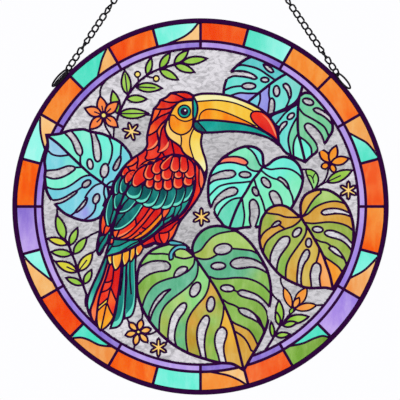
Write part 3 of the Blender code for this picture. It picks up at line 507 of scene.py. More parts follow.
LEAVES["leaf_bottom"] = dict(
    rib=[-5.5-39j, 2-50j, 12-65j, 19-79j, 25.5-95j, 34.5-130.5j],
    left=[-5.5-39.5j, -11-32.5j, -19.5-29.5j, -29.5-31j, -39.5-35.5j, -46.8-43.5j, -50-52.5j, -50.5-66.5j,
     -47.5-78.5j, -41.5-90j, -33-100.5j, -22.5-109.5j, -10.5-116.5j, 3.5-121.5j, 15.5-124.5j, 25.5-125.5j,
     34.5-130.5j],
    right=[-5.5-39.5j, -6.5-33j, -3.5-25j, 3.5-18j, 14-15.5j, 27.5-19j, 38.5-27.5j, 47.5-40j, 53.5-52j,
     56-64.5j, 56-73j, 54.6-80.5j, 53.4-84.5j, 54-89j, 52.6-96j, 46.5-109.5j, 39.5-121.5j, 34.5-130.5j],
    veins=[[-40.4-37.6j, -36-37.8j, -30.5-37.6j, -25.5-38.2j],
     [-20-40j, -16.5-41j, -12.5-41.5j, -5.3-39.8j], [-4.6-41j, -5.4-46j, -8.3-50j, -11.5-52.5j, -20.9-56.3j,
      -27-58j, -33.5-60.6j, -38.3-64j, -42.5-69.5j, -45-75j, -47-82j],
     [-2.2-44.5j, -2-50j, -3.6-56.5j, -8.5-62.5j, -15-68j, -22.5-73.6j, -28.5-79.5j, -31.8-86j, -32.8-93j,
      -33-100.8j], [7.2-58.8j, 6.2-65j, 3.4-71.5j, -2.5-78.5j, -7.5-85j, -10.5-91.5j, -11.5-99j, -11.5-107j,
      -10-117j], [18.6-78j, 18-86.5j, 15.5-96.8j], [-5.5-37.5j, 0-34.8j, 5-28.5j, 9-24.5j, 14-21.8j,
      20-20.4j, 26.5-19.6j, 29.5-20j], [-4.6-40.5j, 2-42j, 7.5-41.5j, 13-38.6j],
     [24.4-33.5j, 29-33.8j, 35.5-34.5j, 41-35.4j, 46-38j], [7.6-56j, 12-57.5j, 19.5-57.6j, 27.5-56.8j,
      36-57.2j, 42-58.8j, 47-61.2j, 51.5-64.5j, 56-69.5j], [18.2-74.4j, 22-77j, 27-78.8j, 31-81.2j],
     [42.5-85j, 47-89.5j, 49.4-95j, 51.5-98.5j], [45.8-91.9j, 49.6-97j, 50.6-100.5j],
     [24.5-91.2j, 28-93.5j, 33-95.7j, 38.5-98.6j, 42-103j, 44.5-108j, 46-111.5j],
     [27.5-99.6j, 31.5-102j, 35-105j, 38-109.5j, 40.2-114.5j], [26.6-66.6j, 29.8-68.2j],
     [-21-36.4j, -18.4-34j, -15-33.2j, -11.5-34.6j, -7.5-37.8j, -5.4-39.6j]],
    slits=[(0, [-55-53j, -51-50.4j, -46-46.6j, -38.9-43.7j, -32.2-43.3j, -26.7-44.1j, -24.1-46.8j,
       -24.6-49.6j, -27.4-51.1j, -33.3-51.8j, -38.9-53.4j, -44.4-56.4j, -48.5-60.5j, -53-66j]),
     (0, [-42.5-91.5j, -41.1-88.9j, -41-85.5j, -39.4-81j, -36.8-75.6j, -33-70.8j, -28.9-67.6j, -24-66.1j,
       -27.8-69.7j, -31.1-74j, -35.2-79j, -38-84.2j, -39.6-88.9j, -40.4-92j]),
     (0, [-24.7-112j, -25.6-107.2j, -26-102.8j, -25.3-96.1j, -23.9-89.4j, -21.1-83.9j, -17.1-79j,
       -13.9-76.9j, -11.7-77.2j, -11.1-79.4j, -12.8-83.9j, -16.7-89.4j, -19.4-96.1j, -20.6-102.8j,
       -20.2-107.8j, -18.5-113j]), (0, [1-123j, -0.6-115.6j, -2.2-109.4j, -2.9-102.8j, -2.2-96.1j,
       0.6-90.4j, 3.3-87.3j, 5.6-87j, 7-88.9j, 6.7-92.8j, 4.5-99.4j, 3.4-106.1j, 3.3-112.8j, 5-123.5j]),
     (0, [16-127j, 13.9-118.3j, 12.1-112.8j, 11.3-106.1j, 12.6-100.4j, 15-97j, 17.4-96.1j, 19.5-97.2j,
       21-100j, 20.6-103.9j, 18.9-109.4j, 18.6-115j, 21-127j]),
     (1, [-10.7-48.6j, -15.2-48j, -18.9-50.4j, -20.8-53.6j, -21-56.4j, -17.8-55.7j, -13.3-53.3j,
       -10.9-50.8j]), (0, [56-51.6j, 52.4-49.2j, 48.9-45.6j, 43.3-42.4j, 36.7-40.8j, 30-41j, 25.6-42.8j,
       23.7-45.5j, 25-47.8j, 28.9-49.4j, 34.4-49.2j, 41.1-48.3j, 46.7-49.6j, 51.5-52j, 56-55j]),
     (2, [54.4-90.5j, 57.5-88j, 57.5-82j, 55.2-80.4j, 53-77.6j, 49.8-74.2j, 44.6-70.2j, 38-67.6j,
       32.4-66.6j, 29.6-68.5j, 31.4-70.8j, 36.8-72.8j, 42.2-74.2j, 46.4-76.2j, 49.6-79j, 52-82.4j,
       53.6-86.4j]), (1, [30.2-81.4j, 33.3-81j, 37.8-82.1j, 42.2-84.9j, 45-88.8j, 45.9-92j, 41.1-89.6j,
       35.6-87.3j, 31.4-84.4j])],
    ovals=[(-4.2-66.2j, 12.6, 7.4, 62), (8.1-77.9j, 12, 6.4, 82), (17.8-34j, 14.4, 8.6, 10),
     (14.2-47.4j, 11.6, 5.7, 2), (21.4-65.2j, 10.8, 5.4, -5)],
    tones=patches(leaf_bright=[-30.5-34j, -20.5-43.5j, -38.5-39.5j],
     lime=[-13.5-38.5j, -16.5-76.5j, 19.5-24.5j], jade_light=[-14.5-33j],
     leaf=[-40.5-56.5j, 9.5-91.5j, 8.5-106.5j, 13.5-120.5j, 51.5-56.5j, 19.5-62.5j, 49.5-66.5j, 29.5-72.5j,
      27.5-84.5j, 31.5-90.5j], moss=[-47.5-66.5j, 49.5-84.5j, 45.5-99.5j],
     jade=[-18.5-62.5j, -43.5-79.5j, -35.5-76.5j, -6.5-54.5j, -36.5-92.5j, -1.5-31.5j, 9.5-50.5j,
      39.5-38.5j, 24.5-53.5j], spring=[0.5-54.5j, -4.5-76.5j],
     olive_pale=[-28.5-92.5j, -27.5-102.5j, 3.5-37.5j], emerald=[-16-96.5j, -16.5-107.5j, 3.5-23.5j],
     ochre=[3.5-74.5j, 9.5-66.5j, -6.5-92.5j, 26.5-119.5j, 29.5-96.5j, 39.5-106.5j, 32.5-116.5j,
      39.5-117.5j, 35.5-101.5j], bronze=[-6.5-106.5j], olive=[15.5-78.5j], honey=[22.5-101.5j, 18.5-88.5j]))
LEAVES["leaf_top"] = dict(
    rib=[71+107j, 65+104j, 58+99.5j, 51+94j, 44+88.5j, 37.5+83j, 24.5+71j],
    left=[71.5+108.5j, 61.5+118j, 47.5+121j, 35.5+117j, 24.5+107.5j, 20.5+100.5j, 18.5+91j, 20.5+79j,
     24.5+71j],
    right=[71.5+108.5j, 81.5+105j, 80.5+93j, 76.5+84j, 67.5+78j, 51.5+72j, 36.5+69j, 24.5+71j],
    veins=[[29+112j, 33+112.8j, 37+112.2j, 44+110.5j, 49+108j, 54+104.5j, 59.5+100.8j],
     [19+92.6j, 24+94.8j, 29+95.8j, 33.2+96j], [24+88.5j, 31+90.5j, 38+90.2j, 46.2+90.2j],
     [47.4+91j, 47.5+85j, 45.5+79j], [55.2+97.5j, 54.5+90j, 55.2+85.5j], [71+86.4j, 70.2+83.5j, 67.5+78j]],
    slits=[(2, [20+107.5j, 24.5+107.4j, 29+108.1j, 34+108j, 39+106.6j, 43+104.6j, 45+102.4j, 43+101.5j,
       38+102.8j, 32+103.7j, 26+103.9j, 22.8+102.6j, 18.5+101j]),
     (1, [50.2+113.2j, 53.5+112.6j, 57+109.8j, 58.2+107.4j, 56+106.9j, 52.4+109.4j]),
     (1, [66+97.2j, 68+98.1j, 70.6+96j, 72.1+92j, 72.1+88j, 71+85.6j, 70+89j, 68.3+92.8j, 66.3+95.2j]),
     (0, [52.5+69j, 54.3+78j, 54.8+83j, 55.5+85.6j, 57.1+86.3j, 58.8+84j, 59+79j, 57.5+72j, 56.5+68j])],
    ovals=[(51.3+101j, 6.4, 3.8, -5), (38.5+96j, 11, 5, 0), (60.6+92j, 8.6, 5, 92)],
    tones=patches(turquoise=[38.5+115.5j, 47.5+116j, 60.5+109j],
     lagoon=[31.5+109j, 53.5+99j, 29.5+100j, 23.5+96j, 41.5+92j, 21.5+90j, 61.5+83j, 61.5+99j, 74.5+85j],
     periwinkle=[34.5+87j, 51.5+85j], sky=[44+84j], turquoise_pale=[75.5+97j]))
LEAVES["leaf_upper_right"] = dict(
    rib=[78.6+87j, 77.6+76j, 77.5+68j, 78+58j, 80+50j, 83.5+35.5j],
    left=[79+88j, 83+90.5j, 88+90j, 92+87.5j, 96+83j, 101+78j, 104+72j, 105.2+66j, 105+60j, 102+55j,
     99+50.5j, 95.5+49.8j, 93+49j, 94+46.5j, 92+43j, 88+40j, 83.5+35.5j],
    right=[79+88j, 77+82j, 67.5+77j, 56.5+72j, 54.5+64j, 61.5+52j, 67.5+43.5j, 74.5+39.5j, 83.5+35.5j],
    veins=[[77.6+82.8j, 73+79j, 67+74j, 63+69j, 59.5+65j], [77.5+72j, 74+66j, 71+59j, 70+53j, 71+46j,
      72.5+40j], [77.9+58.6j, 75+53j, 74+48j, 74.3+39j], [78.9+55.6j, 84+52j, 88+47j, 88.7+40j],
     [77.7+79.6j, 82+74j, 88+70.5j, 94+67j, 99+63j, 102.5+55.5j]],
    slits=[(1, [68.9+67.6j, 66+67.1j, 63.5+64.5j, 62.2+60j, 62.4+57.2j, 64.5+60.5j, 67+63.4j, 68.9+66j]),
     (2, [93.6+43j, 94+46.5j, 91+52j, 87+57j, 84+61j, 83+64.5j, 85+66.3j, 89+65.1j, 93+61.5j, 96.5+57j,
       98.4+51.4j, 98.6+46j]), (0, [109+64j, 105.6+69j, 101.5+73.6j, 97+76.7j, 93+78.6j, 90+77.6j, 92+75j,
       97+72.6j, 101+69.6j, 105+65.4j, 108+61j])],
    ovals=[(72+72j, 6.6, 4, 40), (85.8+83.5j, 9, 5, -20)],
    tones=patches(turquoise=[61.5+75j], lagoon=[72.5+78.5j, 68.5+71j, 65.5+51j, 73.5+66j, 82+40j, 80.5+51j],
     jade_light=[73.5+54j, 80.5+81j], mint=[72.5+43j, 77+45j], aqua=[86.5+43j],
     fern_pale=[92.5+81j, 88.5+73j, 100.5+67j, 81.5+66j, 99.5+57j, 88.5+54j, 91+45j]))


def reached(line, others):
    """The vein with its ends drawn out to the nearest of the other lines."""
    for end in (0, -1):
        near = min((p for other in others for p in other), key=lambda p: abs(p - line[end]))
        if 0.3 < abs(near - line[end]) < 4.5:
            line = [near, *line] if end == 0 else [*line, near]
    return line


def draw_leaf(cartoon, name, rib, left, right, veins, slits, ovals, tones):
    outline = smooth(left)[:-1] + smooth(right)[::-1][:-1]
    cartoon.glass(name, outline, tones)
    cartoon.keep_within_last()
    rims = [smooth(knots, closed=kind == 1) for kind, knots in slits]
    rounds = [oval(*shape) for shape in ovals]
    lines = [smooth(line) for line in veins]
    for line in lines:
        others = [other for other in lines if other is not line]
        cartoon.lead(reached(line, [outline, smooth(rib), *rims, *rounds, *others]), THIN)
    for (kind, knots), rim in zip(slits, rims):
        if kind == 3:
            cartoon.pane(name + "_coral", rim, "coral", THIN)
        elif kind != 2:
            cartoon.pane("slits", rim, BACKDROP, THIN)
    for rim in rounds:
        cartoon.pane("slits", rim, BACKDROP, THIN)
    cartoon.lead(smooth(rib), FIRM)
    cartoon.leave()
    cartoon.lead(outline, BOLD, closed=True)
    openings = [rim for (kind, knots), rim in zip(slits, rims) if kind == 2]
    for rim in openings:
        cartoon.glass("background", rim, BACKDROP)
    cartoon.within.append(cartoon.names.index(name))
    for rim in openings:
        cartoon.lead(rim, THIN, closed=True)
    cartoon.leave()


# ---- small plants --------------------------------------------------------------------------

def petal(root, tip, width, widest=0.5):
    """A pointed leaf or petal."""
    side = (tip - root) / abs(tip - root) * 1j * width / 2
    near, broad, far = [mix(root, tip, share) for share in (widest * 0.45, widest, widest * 0.45 + 0.55)]
    return cornered([root, near + side * 0.76, broad + side, far + side * 0.66, tip],
        [tip, far - side * 0.66, broad - side, near - side * 0.76, root])


def leaflets(cartoon, stem, leaves, tints=("sprig", "sprig_dark")):
    """A sprig: its stem, and leaflets (root, tip, width, how far the rib runs)."""
    for root, tip, wide, ribbed in leaves:
        cartoon.pane("sprigs", petal(root, tip, wide, 0.48), (*tints, root, tip), THIN)
        if ribbed:
            cartoon.lead([mix(root, tip, 0.05), mix(root, tip, ribbed)], HAIR)
    cartoon.lead(smooth(stem), STRONG)


def flower(cartoon, centre, tips, width, tints, heart, stalks=0.0, widest=0.45):
    """A flower: a petal to each tip and a round heart."""
    for tip in tips:
        way = (tip - centre) / abs(tip - centre)
        cartoon.pane("flowers", petal(centre + way * heart * 0.4, tip, width, widest),
            (*tints, centre, tip), THIN)
        if stalks:
            cartoon.lead([centre + way * heart * 0.5, mix(centre, tip, stalks)], HAIR)
    cartoon.pane("flowers", oval(centre, heart, heart, 0), "lemon", SLIGHT)


def star(cartoon, centre, reach=7.0, lean=0.0):
    """A star with six narrow rays, in one piece."""
    outline = []
    for k in range(6):
        knots = ((2.6, -30), (0.6 * reach, -17), (0.86 * reach, -10), (1.03 * reach, 0), (0.86 * reach, 10),
            (0.6 * reach, 17), (2.6, 30))
        outline += smooth([centre + radius * turned(60 * k + lean + angle) for radius, angle in knots])[:-1]
    cartoon.pane("flowers", outline, "sun", THIN)


def stalks(cartoon, *lines):
    """Thin leads that join the plants to what is beside them."""
    for line in lines:
        cartoon.lead(line if len(line) == 2 else smooth(line), STALK)


def draw_plants(cartoon):
    # the sprig in the upper left, with its berries
    leaflets(cartoon, [-66.6+68.5j, -65.8+72j, -61.2+82.2j, -58.5+87.5j, -53.5+94.5j, -48.9+99.8j,
         -43.9+103.7j, -38.2+107.2j, -32.8+109.5j, -26.6+111.4j, -20.5+113.3j, -13.5+114.6j],
        [(-66+74j, -70+92.5j, 7.0, 0), (-58.2+89j, -60.5+108.5j, 7.4, 0.85),
         (-42.8+105j, -39.2+118.6j, 4.8, 0), (-32.4+110j, -24.3+122.6j, 5.6, 0),
         (-21+114j, -9.5+124.6j, 5.6, 0), (-15+115j, 5.4+118j, 6.0, 0), (-21+113.3j, -4.6+107j, 5.8, 0),
         (-32.6+109j, -17.6+101j, 6.0, 0), (-51.6+95.4j, -30.6+94.3j, 7.2, 0.75),
         (-59+86j, -42.6+85.6j, 5.8, 0), (-65.4+74j, -41.5+74.2j, 7.8, 0.9)])
    stalks(cartoon, [-43+73j, -38.5+72.8j])
    cartoon.lead([-60.5+108j, -60.3+111j], SLIM)
    for berry, stalk in ((-50.2+105.4j, -49.3+99j), (-35.3+102j, -43+103.8j)):
        stalks(cartoon, [stalk, mix(stalk, berry, 0.7)])
        cartoon.pane("flowers", oval(berry, 4.6, 4.6, 0), "lemon", LINE)
    # the flower over the left leaf
    stalks(cartoon, [-80+87j, -79.6+94j, -75.5+101j], [-77+70j, -75.8+64j, -71+56j])
    cartoon.lead(smooth([-68.6+66j, -69.4+55.5j]), STALK)
    flower(cartoon, -77.2+72.7j, [-80.1+88j, -65.6+83.6j, -65.8+63.2j, -88.4+61.6j, -92.3+78.4j], 7.6,
        ("petal", "petal"), 4.4, 0.5)
    # the flower and the sprig between the right leaves
    stalks(cartoon, [102.2+34j, 101.8+29.4j, 100.5+24j, 98+19.5j, 94+16j, 90+12j],
        [94+16j, 98+18.5j, 102+20.2j], [117+38j, 122+38.2j], [95.5+45j, 92+46.5j], [119+28.5j, 123+29j],
        [79+29.4j, 85+29.6j])
    leaflets(cartoon, [100.6+19.7j, 102+20.2j], [(100.6+19.5j, 121+29j, 7.8, 0.55)])
    region(cartoon, "sprigs", cornered([83.8+29.6j, 88+29.4j, 92+27j, 94+22.5j, 93+17.5j, 90+12.5j],
         [90+12.5j, 89+16j, 86.6+21j, 84.8+25j, 83.8+29.6j]), ("sprig", "spring", 84+29j, 90+13j),
        [[85+25.2j, 88+24.4j, 89.6+21.8j, 90.4+18.5j], [91.4+26.5j, 90+24j, 89.6+21.8j]], SLIM, 0.9)
    flower(cartoon, 103.2+34.6j, [94.8+45.8j, 108.3+48.6j, 118.2+38.3j], 6.6, ("amber", "pumpkin"), 1.4, 0,
        0.52)
    cartoon.pane("flowers", oval(99.3+32.4j, 6.0, 4.8, 20), "amber", SLIM)
    cartoon.pane("flowers", oval(105.6+30.4j, 6.4, 4.4, -62), "amber", SLIM)
    star(cartoon, 117.9+12.9j)
    stalks(cartoon, [122.5+15.5j, 126+15.2j])
    # the lily and the sprig in the lower right
    cartoon.lead(smooth([67-66j, 64.3-61j, 64-57j, 66-54j]), SLIM)
    stalks(cartoon, [56-67.5j, 58.5-71.5j, 62.6-75.5j], [91.5-78.7j, 98-78.6j])
    leaflets(cartoon, [51-115.5j, 56.6-107j, 59.4-102j, 62.9-95.8j, 66.6-92j, 69.8-87.6j, 73.5-83.9j,
         76-81.5j], [(57.9-104.5j, 56.2-91.6j, 3.4, 0), (63.6-93.5j, 62.5-74.6j, 6.4, 0),
         (62.8-94.5j, 60.3-83.8j, 3.8, 0), (67.5-91.5j, 86.4-87.8j, 6.8, 0), (65.8-95j, 76.8-92.4j, 4.4, 0),
         (59.8-103j, 71.4-101.8j, 4.4, 0)])
    for root, tip, wide in ((72.8-81j, 66.4-64.4j, 5.6), (74.6-80.5j, 84.8-64.6j, 7.6),
        (75-81.8j, 92.6-78.6j, 6.0), (74.2-81j, 78.6-72.6j, 4.8)):
        cartoon.pane("flowers", petal(root, tip, wide, 0.55), ("tangerine", "amber", root, tip), LINE)
    cartoon.pane("sprigs", petal(71.2-85.5j, 74-80.6j, 3.2), "sprig", HAIR)
    # the sprig below the left leaf
    stalks(cartoon, [-114-7.5j, -114.3-2j, -113+3j], [-91-25j, -86-22j, -79-19j], [-86.8-37.6j, -82.5-34j],
        [-114.5-44.6j, -117.5-42.5j, -119.5-38j])
    cartoon.lead(smooth([-90.7-70j, -91.6-75j, -91.2-80j]), HEAVY)
    leaflets(cartoon, [-108.4-25j, -106.3-28.7j, -104.7-32j, -102.7-37.3j, -100.7-42j, -97.7-51.3j,
         -96-56.7j, -93.3-63.3j, -90.7-71j], [(-108.2-26.4j, -114.8-6.6j, 7.2, 0),
         (-104.2-31j, -98-17j, 5.6, 0), (-101.2-38j, -90.6-24.4j, 6.4, 0),
         (-102.4-38j, -119.4-36.2j, 5.6, 0), (-92.8-61.8j, -86.8-50.4j, 5.2, 0),
         (-93.6-62.4j, -107.4-56.8j, 5.0, 0)])
    leaflets(cartoon, [-106-29.5j, -105-31j], [(-106-30j, -121.8-25.4j, 5.6, 0),
         (-97.4-51.6j, -86-36.6j, 7.6, 0.6), (-98-52j, -115.6-44j, 7.2, 0.5)], ("citron", "citron"))
    # the flower and the star below the tail, and the two stars beside the toucan
    stalks(cartoon, [-56.6-93j, -59-88.5j])
    cartoon.lead(smooth([-47-91j, -46.2-86j, -47.4-81j]), SLIM)
    stalks(cartoon, [-44.5-101.6j, -40-101.7j, -33.5-98.5j], [-52.3-110j, -53.2-114j],
        [-28.5-109j, -24-106.4j])
    flower(cartoon, -49.5-100j, [-57-92.6j, -46.8-90j, -39.4-97.7j, -42.1-108.3j, -52.3-110.8j,
         -59.9-102.6j], 4.8, ("sun", "amber"), 3.2, 0, 0.6)
    star(cartoon, -33.5-112.4j)
    star(cartoon, -55.1+59.8j, 7.1, -17)
    star(cartoon, 0.7-8.4j)


# ---- the toucan ----------------------------------------------------------------------------

DEEPER = {"red": "crimson", "scarlet": "red", "flame": "scarlet", "teal": "deep_teal", "deep_teal": "teal",
    "sea": "teal", "coral": "scarlet", "yellow": "gold", "gold": "amber", "pumpkin": "flame",
    "lemon": "yellow", "crimson": "red"}
# How wide a feather is along its length
VANE = [(0.0, 0.55), (0.25, 0.82), (0.70, 1.0), (0.86, 0.84), (0.965, 0.48)]
BODY = [[-5.5+88.3j, -10.6+90.9j, -16.4+91.3j, -24+90.2j], [-24+90.2j, -27.2+87.2j, -32+84.8j],
    [-32+84.8j, -34.2+80.8j, -37.2+77.8j],
    [-37.2+77.8j, -38.9+71j, -40.8+64j, -42.6+55j, -42.6+48.5j, -46+43.8j, -54+38.4j, -60.4+32.4j,
     -64.8+26.6j, -69.2+19j, -71.6+11j, -74.4+5j, -76.4-1j, -78.8-6j, -80-12j, -80.2-20j, -81.8-27j,
     -82.6-34j, -81-38.4j, -79-37j, -76.8-32j, -74-27.6j, -72.6-22j],
    [-72.6-22j, -73.4-32j, -75.5-39.5j], [-75.5-39.5j, -68-38j, -60-35.6j, -52-31.8j, -47-29.4j],
    [-47-29.4j, -45-32.4j, -40-31.2j, -36.4-29.4j, -32-30.4j, -27.4-30.2j, -24.6-27.6j],
    [-24.6-27.6j, -21.4-23.4j, -19-18j, -16.6-12.5j, -10.5-4.5j, -4+4j, 0.3+11.5j, 3.4+20j, 5+29j, 4+37j,
     1.7+44j, 0.3+51j, 1.3+58j],
    [1.3+58j, -5.5+66j, -7+78j, -5.5+88.3j]]
WING = [[-66+22j, -61+24j, -53+28.8j, -46+33.5j, -38+35j, -28+39.8j, -20+41.4j, -12+39.6j, -5.8+34.5j],
    [-5.8+34.5j, -4.8+25j, -5.4+15j, -7.6+6.5j, -13.4-3.2j, -19-9.2j, -24-11.6j, -30.4-15.6j, -38-22.6j,
     -47-28.3j, -60-35j, -76-40j], [-76-40j, -73-28j, -70.5-17j, -66-5j, -66+22j]]
BIB = [[-26.6+69.5j, -28.3+62j, -26.6+56.5j, -23.5+53j, -19+50j, -15.8+47.3j, -14+43.5j, -10.5+40.3j,
     -5+37j, 0+31.5j, 3.2+26j], [3.2+26j, 5+30j, 4+37j, 1.7+44j, 0.3+51j, 1.3+58j],
    [1.3+58j, -4.5+63j, -15+66j, -26.6+69.5j]]
BEAK_RIDGE = [-5.6+88.3j, 0+89.7j, 8+90j, 16+89.5j, 24+88j, 32+85.3j, 40+82j, 46+78.8j, 51+75.3j, 55+71.3j,
    59+65.5j, 61.6+58.5j, 62.8+48.7j]
BEAK_MOUTH = [62.8+48.7j, 59.5+53.5j, 55+57j, 50+60j, 44+62.8j, 38+64.8j, 32+66.2j, 24+67.4j, 16+68.3j,
    8+68.8j, 0+68.6j, -5.7+67.4j]
BEAK_ROOT = [-5.7+67.4j, -5.9+74j, -6+81j, -5.6+88.3j]
BEAK_BELOW = [-5.7+67.4j, -5.5+63.5j, -3+60.6j, 1+59.1j, 6+59j, 14+59.3j, 22+59.9j, 32+59.6j, 40+58.7j,
    48+56.9j, 55+54.2j, 62.8+48.7j]


def vane(root, tip, width, bend):
    """A feather's outline, bent to its left by the bend."""
    side = (tip - root) / abs(tip - root) * 1j
    middle = mix(root, tip, 0.5) + side * bend
    runs = []
    for hand in (1, -1):
        run = []
        for t, wide in VANE:
            spine = (1 - t) ** 2 * root + 2 * t * (1 - t) * middle + t * t * tip
            run.append(spine + hand * side * width / 2 * wide)
        runs.append(run)
    return smooth([*runs[0], tip, *runs[1][::-1]], closed=True)


def feather(cartoon, name, root, tip, width, bend, tint, edge, line, lean, rim):
    """A feather with a paler rim painted round its tip, wider on the side it leans to."""
    outline = vane(root, tip, width, bend)
    cartoon.glass(name, outline, edge)
    cartoon.keep_within_last()
    way = (tip - root) / abs(tip - root)
    shift = way * 1j * lean
    inner = vane(root - way * 2 - shift, tip - way * (rim + line / 2) - shift, width - line - 0.8, bend)
    cartoon.glass(name, inner, (tint, DEEPER[tint], tip, mix(root, tip, 0.3)))
    cartoon.leave()
    cartoon.lead(outline, line, closed=True)


def feathers(cartoon, name, rows, tints, edge, line, lean, rim):
    """Feathers (tip, root, width, bend), each over the one before."""
    for k, (tip, root, width, *bend) in enumerate(rows):
        feather(cartoon, name, root, tip, width, sum(bend), tints[k % len(tints)], edge, line, lean, rim)


def painted(cartoon, name, knots, tint, edge="foam", shift=0.9+0.5j, line=LINE):
    """A feather inside its lead, its paint held off one side where the pale rim shows."""
    middle = sum(knots) / len(knots)
    outline = smooth([knot + (knot - middle) / abs(knot - middle) * line / 2 for knot in knots],
        closed=True)
    cartoon.glass(name, outline, edge)
    cartoon.keep_within_last()
    cartoon.glass(name, [point + shift for point in outline],
        (tint, DEEPER[tint], knots[0], knots[len(knots) // 2]))
    cartoon.leave()
    cartoon.lead(outline, line, closed=True)


def region(cartoon, name, outline, tones, lines, width=STALK, line=LINE):
    """One shape leaded all round, with lead lines and patches of colour in it."""
    cartoon.glass(name, outline, tones)
    cartoon.keep_within_last()
    for knots in lines:
        cartoon.lead(smooth(knots), line)
    cartoon.leave()
    cartoon.lead(outline, width, closed=True)


def draw_tail(cartoon):
    name = "toucan_tail"
    middle = [-74.6-46j, -78.2-57.2j, -82.2-66.3j, -85.4-75.5j, -86.8-82j]
    left = cornered([-76-40j, -80.5-51j, -85.6-62j, -89.6-72j, -90.4-79j, -88.6-86j],
        [-88.6-86j, *middle[::-1], -73-38j], [-73-38j, -76-40j])
    region(cartoon, name, left, patches(teal=[-80-55j, -76-45j], sea=[-84-64j], foam=[-89-78j]), [], HEAVY)
    edge = [-72.5-47j, -75.2-56.3j, -78.5-65.5j, -81-73.8j, -82.3-83j, -82.8-88j, -84.2-94j]
    strip = cornered([-71-38j, *middle[:-1], -87.8-83j, -86.8-89j, -84.2-94j], [*edge[::-1], -69-38j],
        [-69-38j, -71-38j])
    region(cartoon, name, strip, patches(scarlet=[-76-54j, -80-65j], flame=[-84-77j],
         blush=[-85.5-84j, -85-90j]), [], STRONG)
    right = cornered([-50-30j, -51.9-44j, -51.6-60j, -51.6-72j, -52.6-81j, -55.3-87.2j, -60.5-89.4j],
        [-60.5-89.4j, -60.5-80j, -59-60j, -58.5-40j, -50-30j])
    region(cartoon, name, right, "foam", [], EDGE)
    inner = cornered([-50-30j, -53.2-44j, -52.9-60j, -53.2-72j, -55-80j, -59.4-86j],
        [-59.4-86j, -60-60j, -58.5-40j, -50-30j])
    cartoon.glass(name, inner, ("sea", "teal", -55-45j, -56-75j))
    cartoon.lead(right, EDGE, closed=True)
    cartoon.lead(smooth([-56.2-42j, -56.2-58j, -55.2-70j]), LINE)
    right = cornered([-58.5-40j, -59.7-60j, -60.2-76j, -60.8-84j, -62.8-92.2j, -66.2-95.9j, -72-97.2j],
        [-72-97.2j, -68-86j, -65-66j, -62-40j, -58.5-40j])
    region(cartoon, name, right, "foam", [], EDGE)
    inner = cornered([-58.5-40j, -61-60j, -61.4-74j, -63-84j, -66-90.5j, -70.2-92.5j],
        [-70.2-92.5j, -68-86j, -65-66j, -62-40j, -58.5-40j])
    cartoon.glass(name, inner, ("sea", "teal", -61-50j, -64-80j))
    cartoon.lead(right, EDGE, closed=True)
    cartoon.lead(smooth([-61.6-44j, -62.4-58j, -64.2-71j]), LINE)
    centre = cornered([-69-38j, *edge[:-1], -82.6-92j, -81.6-96.5j, -79.8-98.8j],
        [-79.8-98.8j, -76.5-97.2j, -72.6-93.4j, -69.6-88.6j, -68-82j, -66.4-74j, -64.8-64j, -63.6-54j,
         -62.6-40j], [-62.6-40j, -69-38j])
    region(cartoon, name, centre, patches(red=[-66-55j, -67-66j, -66-50j, -73-53j],
         scarlet=[-74-61j, -76-69j, -70-82j], yellow=[-78-77.6j, -81-94j],
         pumpkin=[-80-85j, -79.5-89j, -75-86j], gold=[-72-90.5j, -76-94.5j], flame=[-70-74j]),
        [[-69-48j, -70.4-60.5j, -72.1-66.3j, -74.2-75.5j, -75.4-80j, -77.5-89.7j, -79.3-98j],
         [-70-58j, -72.5-60j, -76-60.6j], [-71-63.4j, -74-66.4j, -79-68.4j],
         [-73.6-72.6j, -77-75.8j, -81.6-79.6j], [-74.4-76.6j, -78.5-79.8j, -82.6-83.8j],
         [-71.6-64.6j, -69.4-70j, -66.6-76.5j], [-74.2-77.4j, -72.2-82.6j, -69.2-87.8j]], EDGE, LINE)
    for knots, tint in (([-73.2-38j, -73.5-42j, -72.8-44.6j, -71.9-45.8j, -70.9-44.4j, -70.4-42j,
          -70.2-38j], "gold"),
        ([-50.2-31j, -51.2-35j, -51.2-37.6j, -50.4-38.8j, -48.6-37.4j, -46.8-34.2j, -45-29j], "pumpkin"),
        ([-55-33j, -55.6-38j, -56.2-41.6j, -55.6-43.4j, -54.2-41.8j, -52.9-38.4j, -52.4-35j, -52.4-31j],
         "gold"),
        ([-61.5-35j, -61.9-41j, -61.6-44.6j, -60.8-46.6j, -59-45j, -57.6-41.6j, -57-38j, -57-33j], "gold"),
        ([-69.2-37j, -69.7-43.6j, -69.2-47.6j, -67.9-50j, -65.7-48.2j, -64.2-44.6j, -63.2-40.6j, -63-36j],
         "gold")):
        painted(cartoon, name, knots, tint, "lemon", 1.3+1.8j, STALK)


